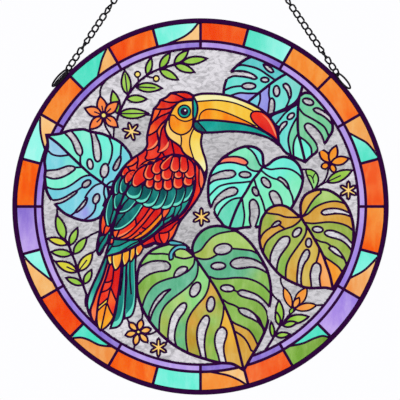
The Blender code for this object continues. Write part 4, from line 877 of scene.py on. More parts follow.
def draw_body(cartoon):
    """The whole bird in reds, with the head's and the neck's feathers."""
    lines = [
        [-24+90.2j, -19+89.2j, -14+86.8j, -9+85j, -6+85j], [-32+84.8j, -24+83j, -19+83.2j, -12+84.4j,
         -6+84.5j],
        [-37.2+77.8j, -30+77.6j, -25+78.2j, -20+81j], [-31.5+77.8j, -34+72.5j, -40.5+64.5j],
        [-22+76.4j, -27+74j, -32+71.8j, -36.5+68.6j], [-26.5+70j, -31+66j, -34+61.5j, -37.5+58.6j, -43+56j],
        [-27.6+68.3j, -31.9+64.7j, -34.4+60.4j, -34.4+56.9j, -33.4+51.9j],
        [-28+66.4j, -31+61.4j, -31.9+57j, -32.5+52j, -32.6+48j, -34+44j],
        [-34.6+59j, -33.4+54j, -33.8+50.5j, -36+47.5j, -39.5+45.4j, -44+45j],
        [-27.6+57j, -25.4+52j, -26.2+47.5j, -29.5+44.2j, -34.5+43.2j],
        [-31+44j, -33+40.5j, -36.5+38j, -42+36.8j, -46+34.5j, -50+30j],
        [-32+37j, -29+40j, -31+44j], [-23+52j, -22+47j, -20.8+41j],
        [-42.5+45j, -43+41j, -44.2+38.5j, -42+36.8j],
        [-50.5+41j, -49.8+37j, -51+30j], [-60+31.5j, -54.5+32.6j, -50+36j],
        [-57.5+31.8j, -57+29.5j, -53.5+28.4j, -50+30j],
        [-34.2+50j, -33+46.5j, -34.5+43.2j]]
    tones = patches(flame=[-18.4+90j, -28+85.5j, -34+79.4j, -36.5+74j, -33.5+76.6j, -38+68.6j, -40+59j,
         -37.6+63j, -31+64j, -33.3+58j, -50+39j, -40+37j, -56+34j, -61+29j],
        red=[-10+87.6j, -14.5+88.8j, -18+86.2j, -12+85j, -29.5+81j, -24+82j, -26+76.4j, -34.6+67j, -38+54j,
         -36.5+52j, -27+49j, -35+46.5j, -46+40.5j, -26+43.5j, -18.5+45.5j, -30+39.5j, -20-15j, -3+10j],
        scarlet=[-23+87j, -31+74j, -41+50j, -31+46.5j, -38+42.5j, -35+40.5j, -48+36j, -34+38.5j, -53+36.5j,
         -54+30.5j, 0+20j], crimson=[-29+71j, -29+58j, -28+51j, -29.5+63j, -24.5+48j, -25+62j],
        coral=[-47+33.5j])
    cartoon.glass("toucan_body", cornered(*BODY), tones)
    cartoon.keep_within_last()
    for knots in lines:
        cartoon.lead(smooth(knots), PLUME)
    for knots in ([-25.4+52j, -25.8+47.8j, -28.8+44.8j, -33.6+43.4j, -30+46.2j, -27.4+49j],
        [-34.2+53j, -35+49.4j, -38.6+46.4j, -42.8+45.4j, -38.8+47.8j, -36.2+50.6j]):
        cartoon.glass("toucan_body", smooth(knots, closed=True), "blush")
    # the breast's strips and the thigh
    strip = cornered([-4.6+35j, -2.4+33j, -0.8+29j, -0.6+20j, 0.2+12j, -3+5.2j, -7.4-0.5j, -11.8-6.2j,
         -16-10j, -18.6-11.4j], [-18.6-11.4j, -18-9j, -12.8-4.2j, -9.6+0.6j, -6.6+7.4j, -4.9+13j, -4.1+20j,
         -4.6+28j, -4.6+35j])
    region(cartoon, "toucan_body", strip, patches(scarlet=[-3+30j, -2.8+10j],
         red=[-2.5+20j, -8+1.5j, -14-7j]), [], EDGE)
    region(cartoon, "toucan_body", smooth([-0.6+31j, 1.6+27j, 2.8+21j, 1+12.8j, -0.8+17j, -1.2+24j],
         closed=True), ("coral", "flame", 0+28j, 0+14j), [], SLIGHT)
    thigh = cornered([-17.6-10j, -24-13.8j, -31-18j, -38-23.6j, -47-29.5j],
        [-47-29.5j, -46-33j, -36-30j, -27-31j, -21-24j, -17-12j])
    region(cartoon, "toucan_body", thigh, patches(red=[-24-16j, -40.5-27.5j],
         crimson=[-30-19.4j, -34.2-25j], flame=[-20-17j, -24.4-25j], scarlet=[-29-25j]),
        [[-17.4-12j, -20.2-14.4j, -23.4-18.4j, -27.6-20.8j, -33.4-21.4j],
         [-25.2-20.4j, -25.2-23.4j, -26-26.4j, -28.2-30j], [-33-21.6j, -32.5-25j, -30.2-29.6j],
         [-36.8-22.6j, -36.8-25.6j, -34.4-29.6j]], STALK, PLUME)
    cartoon.lead(smooth([-45-31.4j, -40-29.6j, -36.4-28.4j, -32-29.6j, -27.4-29.6j]), LINE)
    cartoon.leave()
    cartoon.lead(cornered(*BODY), HEAVY, closed=True)


def draw_wing(cartoon):
    name = "toucan_wing"
    cartoon.glass(name, cornered(*WING), "teal")
    cartoon.keep_within_last()
    cartoon.glass(name, cornered(WING[0], [-5.8+34.5j, -6+21j, -30+17j, -50+20j, -58+21j, -66+22j]),
        "scarlet")
    # the teal band along the lower edge
    band = cornered([-69.6-26.2j, -60-26.6j, -51-26.6j, -46.6-25.4j, -42.8-23j, -39-20j, -35.4-16.6j,
         -32.3-13.2j, -30.8-10.6j], [-30.8-10.6j, -29.2-11.4j, -29.6-14.6j],
        [-29.6-14.6j, -34.4-19j, -38.4-22.4j, -43-25.4j, -50.4-30j, -59.6-34.8j, -66-37.8j, -77-40.5j],
        [-77-40.5j, -72.6-34.6j, -70-30j, -69.6-26.2j])
    region(cartoon, name, band, patches(teal=[-66-28.5j, -62-29.8j, -42-23.6j, -31-13.5j],
         sea=[-71-35j, -62-33j, -56-29j, -48-27.5j, -35-18j]),
        [[-70.2-32j, -65-31.2j, -60.5-29j, -56-26.8j], [-64.5-36.4j, -58.8-32.7j, -54-29.8j, -49.5-27.8j,
          -46.4-26.4j]], SLIM, LINE)
    # the flight feathers, side by side, the first with a pale edge
    first = [-67-25.4j, -62.7-24.1j, -58.8-21.9j, -54.2-18.1j, -50-13.8j, -45-8.1j, -41.9-3.5j, -39+1.5j]
    second = [-61.9-26.2j, -57.3-24.6j, -53.5-21.9j, -48.8-17.3j, -44.2-12.3j, -40.4-7.3j, -37.3-3.5j,
        -34+0.5j]
    third = [-55-26.2j, -51.9-24.2j, -48.1-21.8j, -44-18.4j, -40-14.8j, -36.8-11.4j, -33.8-8.2j, -31.4-5.2j,
        -30.8-2j]
    fourth = [-50.8-26.4j, -47.3-24.8j, -43.8-22.6j, -40-19.6j, -36.6-16.3j, -33.2-12.6j, -30.6-9.2j,
        -30.2-4.5j, -29.4+1j]
    outline = cornered([-70-19.5j, -65-18.2j, -61-16.8j, -56.4-13.3j, -52.3-9j, -49.2-4.2j, -45+3j],
        [-45+3j, -29.4+1j], fourth[::-1], [-50.8-26.4j, -61.9-26.2j, -67.4-25.6j, -69.4-23.6j, -70-19.5j])
    cartoon.glass(name, outline, patches(flame=[-68-22j, -61.5-24.8j, -54.5-24.5j],
         scarlet=[-65-22.5j, -57-17j, -54-20j, -40-3j, -49.5-20.5j],
         red=[-50.5-9j, -44-2j, -44-15j, -35-4j], pumpkin=[-50-25j, -42-19.2j, -33-9.6j, -37.5-14.5j]))
    cartoon.keep_within_last()
    cartoon.glass(name, cornered(first[:5], [-50-13.8j, -55.4-17.4j, -60-20.6j, -64.6-22.6j, -67.6-23.4j],
         [-67.6-23.4j, -67-25.4j]), "blush")
    for line in (first, second, third, [-64.8-19j, -67.2-24.8j], [-51.9-8.8j, -51.2-14.4j],
        [-48.8-20.2j, -47-22.4j], [-46.8-16.8j, -43-18j]):
        cartoon.lead(smooth(line), PLUME)
    cartoon.leave()
    cartoon.lead(outline, STALK, closed=True)
    # the small panes between them and the breast
    for knots, tint in (([-22.8+0.6j, -25.5-4.9j, -29.6-9.4j, -30.6-6j, -29.8-3j, -27.3-0.4j], "flame"),
        ([-20.4+0.4j, -20.4-3.4j, -23-7.2j, -28.8-10.6j, -27.6-8j, -25.2-4.4j, -23.7-1j, -22+0.4j], "sea"),
        ([-22.2-7.6j, -23.7-10.6j, -28.9-14.2j, -29.4-11.6j, -26.6-9.6j], "sea"),
        ([-16.6+3j, -15.4+0.4j, -16.2-2.6j, -18-5.6j, -21-8.9j, -21.5-7.2j, -20.6-3j, -19.4+0.8j], "sea"),
        ([-6.8+10j, -7.8+5j, -10.2+0.8j, -13.4-3.6j, -18.9-8.4j, -17.8-5j, -15.8-1.6j, -14.8+2.8j,
          -10.6+6j], "sea")):
        cartoon.pane(name, smooth(knots, closed=True), (tint, DEEPER.get(tint, "sea"), knots[1], knots[4]),
            LINE)
    # the two large teal feathers, and the narrow ones beside the edge
    painted(cartoon, name, [-46+1j, -50.3+2.1j, -53.5-0.5j, -56.7-2.6j, -60.5-5.4j, -65.6-6.3j, -67.8-13j,
         -68.9-17.8j, -64.6-18.1j, -60.3-16.1j, -55.3-11.9j, -51-6.9j, -48.1-2.6j], "teal", "foam",
        -0.7+1.6j)
    cartoon.lead(smooth([-60-5.4j, -64-10.4j, -67.8-15.8j]), SLIGHT)
    painted(cartoon, name, [-51+5.6j, -53.8+6.4j, -57+6.4j, -60.3+3.5j, -62.8-1.1j, -64.8-4.4j, -61-4.4j,
         -57.4-2.6j, -53.9+1j], "teal", "foam", -0.6+1.5j)
    cartoon.lead(smooth([-57.6+6j, -60.6+2.6j, -63.2-2j]), SLIGHT)
    painted(cartoon, name, [-58.5+11.4j, -57.8+7j, -61+3.1j, -63.9-1.1j, -63.3+1.7j, -61.7+6j, -59.9+9.6j],
        "sea", "sea", 0)
    # the row of teal scallops, from the right to the left
    rows = [(-15.6+3.8j, -6.5+19j, 7.4, 1.6), (-23+0.6j, -14.5+16j, 9.4, 2.6),
        (-31.5-1.5j, -22+15j, 10.4, 3), (-38.8-1.5j, -29+15j, 10, 3), (-45+0.3j, -35+16j, 10, 3.2),
        (-50.8+3.7j, -41+18j, 10, 3.2), (-56.8+6.8j, -50+20j, 11.4, 3.2)]
    feathers(cartoon, name, rows, ("teal", "teal", "deep_teal", "teal", "deep_teal", "teal", "teal"),
        "foam", LINE, 0.6, 1.8)
    cartoon.leave()
    cartoon.lead(cornered(*WING[1:2], [-76-40j, -74.5-34j, -76-40j]), STOUT)


def draw_edge_feathers(cartoon):
    """The narrow feathers down the wing's left edge, beside the long lead line."""
    name = "toucan_wing"
    quill = [-57+20j, -57.8+16.6j, -59.2+12.4j, -61+9j, -62.8+4.6j, -64.6-0.4j, -66-4j, -67.3-8.3j,
        -69.2-13.3j, -70.8-18j, -71.4-23.3j, -72.6-28.3j, -74.6-34.7j, -76-39.5j]
    side = BODY[3][8:]
    cartoon.glass(name, cornered(side, [side[-1], *quill[9::-1]], [quill[0], -60.6+23.4j, side[0]]), "teal")
    painted(cartoon, name, [-71.6-26.4j, -70-26j, -70-28.3j, -71.6-29.6j], "coral", "coral", 0)
    for knots, tint in (([-77.6-5.4j, -76.7-9.7j, -76-14.7j, -77.1-19j, -77.7-21.9j, -78.9-20.5j, -79.1-16j,
          -78.8-11j], "flame"),
        ([-75.4-16.1j, -72.2-16.6j, -74.2-20.2j, -76.6-22j, -76.2-19j], "flame"),
        ([-80.2-24.6j, -76.8-23.6j, -78.2-26.9j, -79.9-29.2j, -80.6-28j], "teal"),
        ([-72-19.8j, -72.4-24j, -75.3-29j, -78.1-33.3j, -80.4-36.7j, -81.5-35.6j, -80.6-31.8j, -77.4-26.9j,
          -74.4-21.9j], "sea"),
        ([-69.9-4j, -68-3.2j, -67.4-4.6j, -68.9-9j, -70.3-12.8j, -71.9-14.2j, -71.2-9.4j], "sea")):
        painted(cartoon, name, knots, tint, tint, 0)
    for knots in ([-70.4+10.3j, -73+5.3j, -74.8-0.4j, -75.6-6.1j, -75.5-10.8j, -74.6-14.6j, -73.2-15.2j,
         -72.1-11.9j, -71.5-8j, -70.5-4j, -69.9+1j, -70+7j],
        [-64+10.4j, -67+9.6j, -68.6+6.5j, -69+2.4j, -68.5-0.9j, -67.2-1.8j, -65.5+0.6j, -64+4.2j,
         -62.6+7.6j, -62+10j],
        [-61.1+22.8j, -62.8+20.6j, -64+16.7j, -64.3+12.6j, -63.2+10.8j, -61.4+11.4j, -59.4+13.3j,
         -58.8+15.4j, -59.4+18.4j, -60.2+21j],
        [-63.8+24.4j, -66+21.5j, -67.7+18j, -68.6+14j, -68.4+10.8j, -67+10.2j, -65.6+11.6j, -65.3+14.6j,
         -64.6+18.9j, -63.1+22.8j]):
        painted(cartoon, name, knots, "teal", "foam", 1.5+1.0j)
    painted(cartoon, name, [-59.4+31j, -57.8+29.4j, -57.6+27.9j, -59.6+25.8j, -62.1+24.8j, -62.5+25.6j,
         -62+27.6j, -61+29.6j], "scarlet", "blush", 1.3+1.1j)
    painted(cartoon, name, [-53.1+28.3j, -55.6+27.9j, -58.4+26j, -59.8+23.1j, -60+20.2j, -59.2+18.6j,
         -57.8+19.1j, -55.6+21.9j, -53.5+25.3j], "scarlet", "blush", 1.3+1.2j)
    cartoon.lead(smooth(side), HEAVY)
    cartoon.lead(smooth(quill), STOUT)


def draw_shoulder(cartoon):
    """Three rows of red scales, laid from the lowest up."""
    name = "toucan_body"
    base = cornered([-56+26j, -50+29.5j, -44+33j, -38+34.6j, -28+39.8j, -20+41.4j, -12+39.6j, -5.8+34.5j],
        [-5.8+34.5j, -4.5+27j, -5.5+20.5j, -12+19.5j, -26+17j, -42+18j, -56+26j])
    cartoon.glass(name, base, "scarlet")
    painted(cartoon, name, [-44+33j, -46+31.6j, -49.6+28.9j, -52.3+25.3j, -53.9+21j, -54+17.6j, -52.3+16.2j,
         -50.3+16.6j, -47.4+18.7j, -44.6+21j, -42+26j], "scarlet", "blush", 1.4+1.2j)
    rows = [(-41.7+14.7j, -39+25j, 6.6), (-34.4+12.7j, -32.5+24j, 7.0), (-26.2+12.7j, -26+24j, 7.4),
        (-18+14j, -18+26j, 8.2), (-11+16.4j, -8.5+26j, 7.8)]
    feathers(cartoon, name, rows, ("scarlet",), "blush", PLUME, -0.75, 0.95)
    rows = [(-35+19.7j, -33.5+28j, 6.4), (-42.2+21.4j, -38.5+35j, 8.6), (-28.2+21j, -25+34j, 8.6),
        (-18+22.2j, -17.6+30j, 6.6), (-9+22.4j, -7.5+38j, 8.8)]
    feathers(cartoon, name, rows, ("scarlet", "red", "scarlet", "scarlet", "scarlet"), "blush", PLUME,
        -0.75, 0.85)
    rows = [(-36.6+26j, -32+37.5j, 7.8), (-31.4+29.6j, -21+40.5j, 6.6), (-13.6+26.8j, -13.6+40j, 7.6),
        (-21+27.4j, -19.5+39.5j, 7.8)]
    feathers(cartoon, name, rows, ("scarlet", "red", "scarlet", "scarlet"), "blush", PLUME, -0.6, 0.8)
    cartoon.lead(smooth([-50.5+29.5j, -44+33j, -38+34.6j, -28+39.8j, -20+41.4j, -12+39.6j, -5.8+34.5j,
          -4.3+27j, -4.2+18j, -6+8j]), THIN)


def draw_head(cartoon):
    region(cartoon, "toucan_face", cornered(*BIB), patches(sun=[-26+62j, -22+56j, -18+52j],
         sand=[-12+55j, -12+47j, -8+41j], yellow=[-4+57j], lemon=[-4+50j, -1+40j], cream=[2+33j]),
        [[-16+58j, -15.2+54j, -15.4+50j, -16+46j], [-5.5+62j, -8+56j, -8.6+50j, -7.2+43.5j, -4.5+36j]],
        STOUT, SLIGHT)
    face = cornered([-6+86j, -14+85j, -19+82j, -22.3+77j, -24.6+71j, -24.8+65j, -22.5+60.5j, -15.5+57.2j,
         -9+60j, -6.6+64j, -6+70j], [-6+70j, -6+86j])
    region(cartoon, "toucan_face", face, patches(gold=[-20+78j, -22+73.5j, -15+70j, -16+60j],
         yellow=[-9+82j], pumpkin=[-20+68j], amber=[-9+64j]),
        [[-25+72.4j, -21.5+72.8j, -17.5+69.6j, -13+68j, -9+68.5j, -5.5+70.5j]], LINE, HAIR)
    cartoon.lead(smooth([-26.4+70j, -24+74.5j, -21+79.4j, -17.4+83.2j, -12+84.6j, -6+84.6j]), STOUT)
    eye = -12.9+75.8j
    for at, size, tint, line in ((eye, 10.0, "beak_teal", SLIGHT), (eye, 5.8, "night", 0.5),
        (eye + (0.7+0.8j), 1.5, "glint", 0)):
        cartoon.glass("toucan_eye", oval(at, size, size, 0), tint)
        if line:
            cartoon.lead(oval(at, size, size, 0), line, closed=True)
    region(cartoon, "beak_lower", cornered(BEAK_BELOW, BEAK_MOUTH),
        patches(beak_teal=[30+63j, 10+66j, 50+58j], deep_teal=[-2+63.5j], sea=[14+61j]),
        [[-3+68.3j, 1+64j, 5.2+59j]], STOUT, SLIGHT)
    region(cartoon, "beak_upper", cornered(BEAK_RIDGE, BEAK_MOUTH, BEAK_ROOT),
        patches(cream=[2+86.5j, 25+85.8j], lemon=[42+78.5j], gold=[2+80.5j, -1.5+76j, 13+72j],
         yellow=[14+81j, 34+76j], pumpkin=[4+72j, 22+70j, 36+66.5j]),
        [[-3+83.7j, 4+84.2j, 12+84.7j, 20+84j, 28+82.2j, 36+79j, 42.5+75.9j],
         [-1.3+68j, -0.7+72.5j, 1.4+75.6j, 5+77.4j, 10+77.5j, 16+76.3j, 24+73.5j, 32+70j, 38+67.2j,
          44+64j]], STOUT, HAIR)
    tip = cornered([40+71.5j, 40.2+73.8j, 42+75.5j, 45.5+75.9j, 50+74.8j, 54.5+71.3j, 58.6+65.5j, 61+59j,
         62+52j], [62+52j, 56+57j, 50+60.8j, 45+64.8j, 41.5+68.5j, 40+71.5j])
    region(cartoon, "beak_upper", tip, ("scarlet", "red", 46+74j, 48+62j), [], SLIM)
    cartoon.glass("beak_upper", cornered([48+74.2j, 53.5+70.4j, 57.6+64.6j, 60+58j, 60.6+55j],
         [60.6+55j, 58.6+59j, 55.8+65j, 52.4+70j, 48+74.2j]), "blush")
    root = cornered([-6+88.4j, -3.2+83j, -2.3+78.3j, -3+73.3j, -5+67.8j],
        [-5+67.8j, -6+73j, -5.9+78j, -6.2+82.6j, -6+88.4j])
    region(cartoon, "beak_lower", root, "beak_teal", [], EDGE)
    cartoon.lead(cornered(BEAK_RIDGE, BEAK_MOUTH[:1] + BEAK_BELOW[::-1][1:]), HEAVY)
    cartoon.lead(cornered(BEAK_BELOW), HEAVY)


def draw_claw(cartoon):
    cartoon.pane("toucan_claw", smooth([-25.6-28.2j, -23-27.2j, -17.3-28.2j, -13-29.7j, -9.2-33j,
          -10.8-33.6j, -15-31.6j, -18-30.9j, -24.6-30.3j], closed=True), "claw", STALK)
    hook = smooth([-11-31.6j, -17.6-30.8j, -22.4-33.6j, -25-38j, -24.4-42.6j, -22-41.6j, -21.8-38j,
         -19.4-35j, -16.5-33.8j, -11-34j], closed=True)
    cartoon.pane("toucan_claw", hook, "claw", STALK)


def draw_cartoon():
    cartoon = Cartoon()
    cartoon.glass("background", arc(RING_LINE, 0, 360)[:-1], BACKDROP)
    draw_plants(cartoon)
    for name in ("leaf_top", "leaf_upper_right", "leaf_centre", "leaf_right"):
        draw_leaf(cartoon, name, **LEAVES[name])
    draw_border(cartoon)
    draw_ring(cartoon)
    for name in ("leaf_left", "leaf_bottom"):
        draw_leaf(cartoon, name, **LEAVES[name])
    draw_tail(cartoon)
    draw_body(cartoon)
    draw_wing(cartoon)
    draw_edge_feathers(cartoon)
    draw_shoulder(cartoon)
    draw_claw(cartoon)
    draw_head(cartoon)
    return cartoon


# ---- from the cartoon to glass and lead ----------------------------------------------------

# The points inside the panes: their grid, and how far they stay from an edge
GRID, GRID_ROW, EDGE_CLEAR = 2.2, 1.9052, 0.9
# The points along the leads: one to a cell, and how far they stay from an edge
SPINE_CELL, SPINE_CLEAR = 0.4, 0.27
# The smallest pane, how far a pane goes under its lead, half the lead's depth at its edges,
# and how softly the patches of paint run together
SLIVER, TUCK, EDGE_HALF, SOFTNESS = 0.9, 0.15, 1.85, 1.5


def linear(tint):
    """A tint as linear light."""
    return tuple(((c / 255 + 0.055) / 1.055) ** 2.4 if c > 10 else c / 255 / 12.92 for c in tint)


LIGHT = {name: linear(tint) for name, tint in TINTS.items()}


def blend(a, b, share):
    return tuple(x + (y - x) * share for x, y in zip(a, b))


def covering(points, triangles):
    """Finds the triangle under a point of the cartoon."""
    tree = BVHTree.FromPolygons([(p.real, p.imag, 0) for p in points], triangles)
    down = Vector((0, 0, -1))
    return lambda p: tree.ray_cast((p.real, p.imag, 1), down)[2]


def neighbours_of(triangles):
    sides = {}
    for number, (a, b, c) in enumerate(triangles):
        sides[a, b] = sides[b, c] = sides[c, a] = number
    return sides


def islands(triangles, labels, sides):
    """The groups of joined triangles with the same label."""
    island = [-1] * len(triangles)
    groups = []
    for first in range(len(triangles)):
        if island[first] >= 0:
            continue
        members = [first]
        island[first] = len(groups)
        for number in members:
            a, b, c = triangles[number]
            for side in ((b, a), (c, b), (a, c)):
                other = sides.get(side, -1)
                if other >= 0 and island[other] < 0 and labels[other] == labels[first]:
                    island[other] = len(groups)
                    members.append(other)
        groups.append(members)
    return groups, island


def area(points, triangles, members):
    return sum(signed_area([points[c] for c in triangles[m]]) for m in members)


def first_cut(cartoon):
    """Triangles labelled with the shape that lies on top: its number, or -1 for lead."""
    points, faces, owners = [], [], []
    for number, shape in enumerate(cartoon.shapes):
        for outline in shape:
            if signed_area(outline) < 0:
                outline = outline[::-1]
            faces.append(range(len(points), len(points) + len(outline)))
            points += outline
            owners.append(number)
    cut = delaunay_2d_cdt([Vector((p.real, p.imag)) for p in points], [], [list(f) for f in faces], 1, 1e-4,
        True)
    points = [complex(*p) for p in cut[0]]
    triangles = cut[2]
    labels = []
    for covers in cut[5]:
        here = {owners[face] for face in covers}
        top = max((number for number in here if here.issuperset(cartoon.bounds[number])), default=-1)
        labels.append(-1 if top < 0 or cartoon.names[top] == "lead" else top)
    kinds = [label >= 0 for label in labels]
    groups, _ = islands(triangles, kinds, neighbours_of(triangles))
    for members in groups:
        if labels[members[0]] >= 0 and area(points, triangles, members) < SLIVER:
            for number in members:
                labels[number] = -1
    return points, triangles, labels


def final_cut(cartoon):
    """The first cut again with only its seen edges, and with points inside the panes and leads."""
    points, triangles, labels = first_cut(cartoon)
    sides = neighbours_of(triangles)
    edges = []
    for (a, b), number in sides.items():
        other = sides.get((b, a), -1)
        if other < 0 or (labels[other] != labels[number] and a < b):
            edges.append((a, b))
    used = sorted({c for edge in edges for c in edge})
    place = {c: k for k, c in enumerate(used)}
    seen = [points[c] for c in used]
    edges = [(place[a], place[b]) for a, b in edges]
    where = covering(points, triangles)
    near = KDTree(len(seen))
    for k, p in enumerate(seen):
        near.insert((p.real, p.imag, 0), k)
    near.balance()
    inner = []
    rows = int(PANE_EDGE / GRID_ROW) + 1
    for row in range(-rows, rows + 1):
        for column in range(-rows, rows + 1):
            p = complex((column + row % 2 / 2) * GRID, row * GRID_ROW)
            if abs(p) > PANE_EDGE - 1:
                continue
            under = where(p)
            if under is not None and labels[under] >= 0 and near.find((p.real, p.imag, 0))[2] > EDGE_CLEAR:
                inner.append(p)
    taken = set()
    for p in cartoon.spines:
        cell = round(p.real / SPINE_CELL), round(p.imag / SPINE_CELL)
        under = where(p)
        if cell in taken or under is None or labels[under] >= 0 or abs(p) > LEAD_EDGE - 0.5:
            continue
        if near.find((p.real, p.imag, 0))[2] > SPINE_CLEAR:
            taken.add(cell)
            inner.append(p)
    ring = arc(LEAD_EDGE, 0, 360)[:-1]
    start = len(seen) + len(inner)
    edges += [(start + k, start + (k + 1) % len(ring)) for k in range(len(ring))]
    everything = seen + inner + ring
    cut = delaunay_2d_cdt([Vector((p.real, p.imag)) for p in everything], edges, [], 1, 1e-4, False)
    corners = [complex(*p) for p in cut[0]]
    new_labels = []
    for a, b, c in cut[2]:
        under = where((corners[a] + corners[b] + corners[c]) / 3)
        new_labels.append(-1 if under is None else labels[under])
    return corners, cut[2], new_labels


def painter(cartoon, points, triangles, labels, sides):
    """A function that gives the colour of a pane's triangle at a point."""
    groups, island = islands(triangles, labels, sides)
    where = covering(points, triangles)
    held = {}
    for number, members in enumerate(groups):
        label = labels[members[0]]
        if label >= 0 and isinstance(cartoon.paints[label], list):
            held[number] = []
    for label, paint in enumerate(cartoon.paints):
        if isinstance(paint, list):
            for at, tint in paint:
                under = where(at)
                if under is not None and island[under] in held and labels[under] == label:
                    held[island[under]].append((at, LIGHT[tint]))

    def colour(number, p):
        paint = cartoon.paints[labels[number]]
        if isinstance(paint, str):
            return LIGHT[paint]
        if isinstance(paint, tuple):
            first, last, start, end = paint
            way = end - start
            share = ((p - start).conjugate() * way).real / abs(way) ** 2
            return blend(LIGHT[first], LIGHT[last], min(1, max(0, share)))
        seeds = held[island[number]]
        if not seeds:
            members = groups[island[number]]
            middle = sum(points[c] for m in members for c in triangles[m]) / 3 / len(members)
            at, tint = min(paint, key=lambda seed: abs(seed[0] - middle))
            seeds.append((at, LIGHT[tint]))
        weights = [1 / (abs(p - at) ** 2 + SOFTNESS) for at, _ in seeds]
        total = sum(weights)
        return tuple(sum(w * tint[k] for w, (_, tint) in zip(weights, seeds)) / total for k in range(3))
    return colour


def rims_of(members, triangles, sides):
    """The outer and inner sides of a group of triangles."""
    group = set(members)
    rims = []
    for number in members:
        a, b, c = triangles[number]
        for side in ((a, b), (b, c), (c, a)):
            if sides.get((side[1], side[0]), -1) not in group:
                rims.append(side)
    return rims


def to_panel(p, y):
    return (p.real * MM, y * MM, (p.imag - HANG_HEIGHT) * MM)


def slab(members, points, triangles, sides, heights, push):
    """A closed slab over a group of triangles: (vertices, faces, the triangle behind each face)."""
    rims = rims_of(members, triangles, sides)
    moves = {}
    for a, b in rims:
        out = (points[b] - points[a]) * -1j
        out /= max(abs(out), 1e-9)
        moves[a] = moves.get(a, 0) + out
        moves[b] = moves.get(b, 0) + out
    index, front, back = {}, [], []
    for number in members:
        for c in triangles[number]:
            if c not in index:
                index[c] = len(index)
                p = points[c]
                if push and c in moves and abs(moves[c]) > 0.2:
                    p += moves[c] / abs(moves[c]) * push
                high = heights(c)
                front.append(to_panel(p, -high))
                back.append(to_panel(p, high))
    count = len(index)
    faces, behind = [], []
    owner = {}
    for number in members:
        a, b, c = (index[k] for k in triangles[number])
        faces.append((a, b, c))
        faces.append((count + c, count + b, count + a))
        behind += [number, number]
        for side in zip(triangles[number], triangles[number][1:] + triangles[number][:1]):
            owner[side] = number
    for a, b in rims:
        faces.append((index[b], index[a], count + index[a], count + index[b]))
        behind.append(owner[a, b])
    return front + back, faces, behind


class Pieces:
    """Gathers slabs under the names of the pieces they belong to."""

    def __init__(self):
        self.parts = {}

    def add(self, name, slab, colours=None):
        part = self.parts.setdefault(name, ([], [], []))
        start = len(part[0])
        part[0].extend(slab[0])
        part[1].extend(tuple(start + c for c in face) for face in slab[1])
        if colours:
            part[2].extend(colours)


def make_piece(name, vertices, faces, colours, stuff):
    mesh = bpy.data.meshes.new(name)
    mesh.from_pydata(vertices, [], faces)
    if colours:
        layer = mesh.color_attributes.new("tint", "FLOAT_COLOR", "CORNER")
        layer.data.foreach_set("color", colours)
    piece = bpy.data.objects.new(name, mesh)
    bpy.context.scene.collection.objects.link(piece)
    mesh.materials.append(stuff)
    return piece


def cut_glass(cartoon):
    """Every pane as a slab with its paint, and the leads as one net."""
    points, triangles, labels = final_cut(cartoon)
    sides = neighbours_of(triangles)
    colour = painter(cartoon, points, triangles, labels, sides)
    names = [cartoon.names[label] if label >= 0 else None for label in labels]
    groups, _ = islands(triangles, names, sides)
    pieces = Pieces()
    for members in groups:
        name = names[members[0]]
        if name is None:
            continue
        shape = slab(members, points, triangles, sides, lambda c: GLASS_DEPTH / 2, TUCK)
        colours = []
        for face, number in zip(shape[1], shape[2]):
            if len(face) == 3:
                corners = triangles[number]
                if face[0] >= len(shape[0]) // 2:
                    corners = corners[::-1]
                for c in corners:
                    colours += [*colour(number, points[c]), 1.0]
            else:
                colours += [*colour(number, points[triangles[number][0]]), 1.0] * 4
        pieces.add(name, shape, colours)
    leads = []
    for number, label in enumerate(labels):
        if label < 0 and abs(sum(points[c] for c in triangles[number]) / 3) < LEAD_EDGE:
            leads.append(number)
    pieces.add("lead", slab(leads, points, triangles, sides, bead(points, triangles, leads, sides), 0))
    return pieces.parts


def bead(points, triangles, leads, sides):
    """Half the depth of the lead at each corner: rounded up from its edges."""
    rims = rims_of(leads, triangles, sides)
    edges = {}
    for a, b in rims:
        edges.setdefault(a, []).append(b)
        edges.setdefault(b, []).append(a)
    near = KDTree(len(edges))
    for c in edges:
        near.insert((points[c].real, points[c].imag, 0), c)
    near.balance()
    heights = {}

    def height(c):
        if c in edges:
            return EDGE_HALF
        if c not in heights:
            p = points[c]
            gap = 9.0
            for _, a, _ in near.find_n((p.real, p.imag, 0), 3):
                for b in edges[a]:
                    way = points[b] - points[a]
                    along = min(1, max(0, ((p - points[a]).conjugate() * way).real / abs(way) ** 2))
                    gap = min(gap, abs(p - points[a] - way * along))
            rise = 1 - (1 - min(gap, 1.0)) ** 2
            heights[c] = EDGE_HALF + (LEAD_DEPTH / 2 - EDGE_HALF) * math.sqrt(rise)
        return heights[c]
    return height


# ---- materials -----------------------------------------------------------------------------

class Value:
    """A number in a shader, with the usual arithmetic."""

    def __init__(self, tree, socket):
        self.tree = tree
        self.socket = socket

    def combine(self, kind, *others):
        node = self.tree.nodes.new("ShaderNodeMath")
        node.operation = kind
        for slot, value in zip(node.inputs, others):
            if isinstance(value, Value):
                self.tree.links.new(value.socket, slot)
            else:
                slot.default_value = value
        return Value(self.tree, node.outputs[0])

    def __add__(self, other):
        return self.combine("ADD", self, other)

    def __radd__(self, other):
        return self.combine("ADD", other, self)

    def __sub__(self, other):
        return self.combine("SUBTRACT", self, other)

    def __rsub__(self, other):
        return self.combine("SUBTRACT", other, self)

    def __mul__(self, other):
        return self.combine("MULTIPLY", self, other)

    def __rmul__(self, other):
        return self.combine("MULTIPLY", other, self)


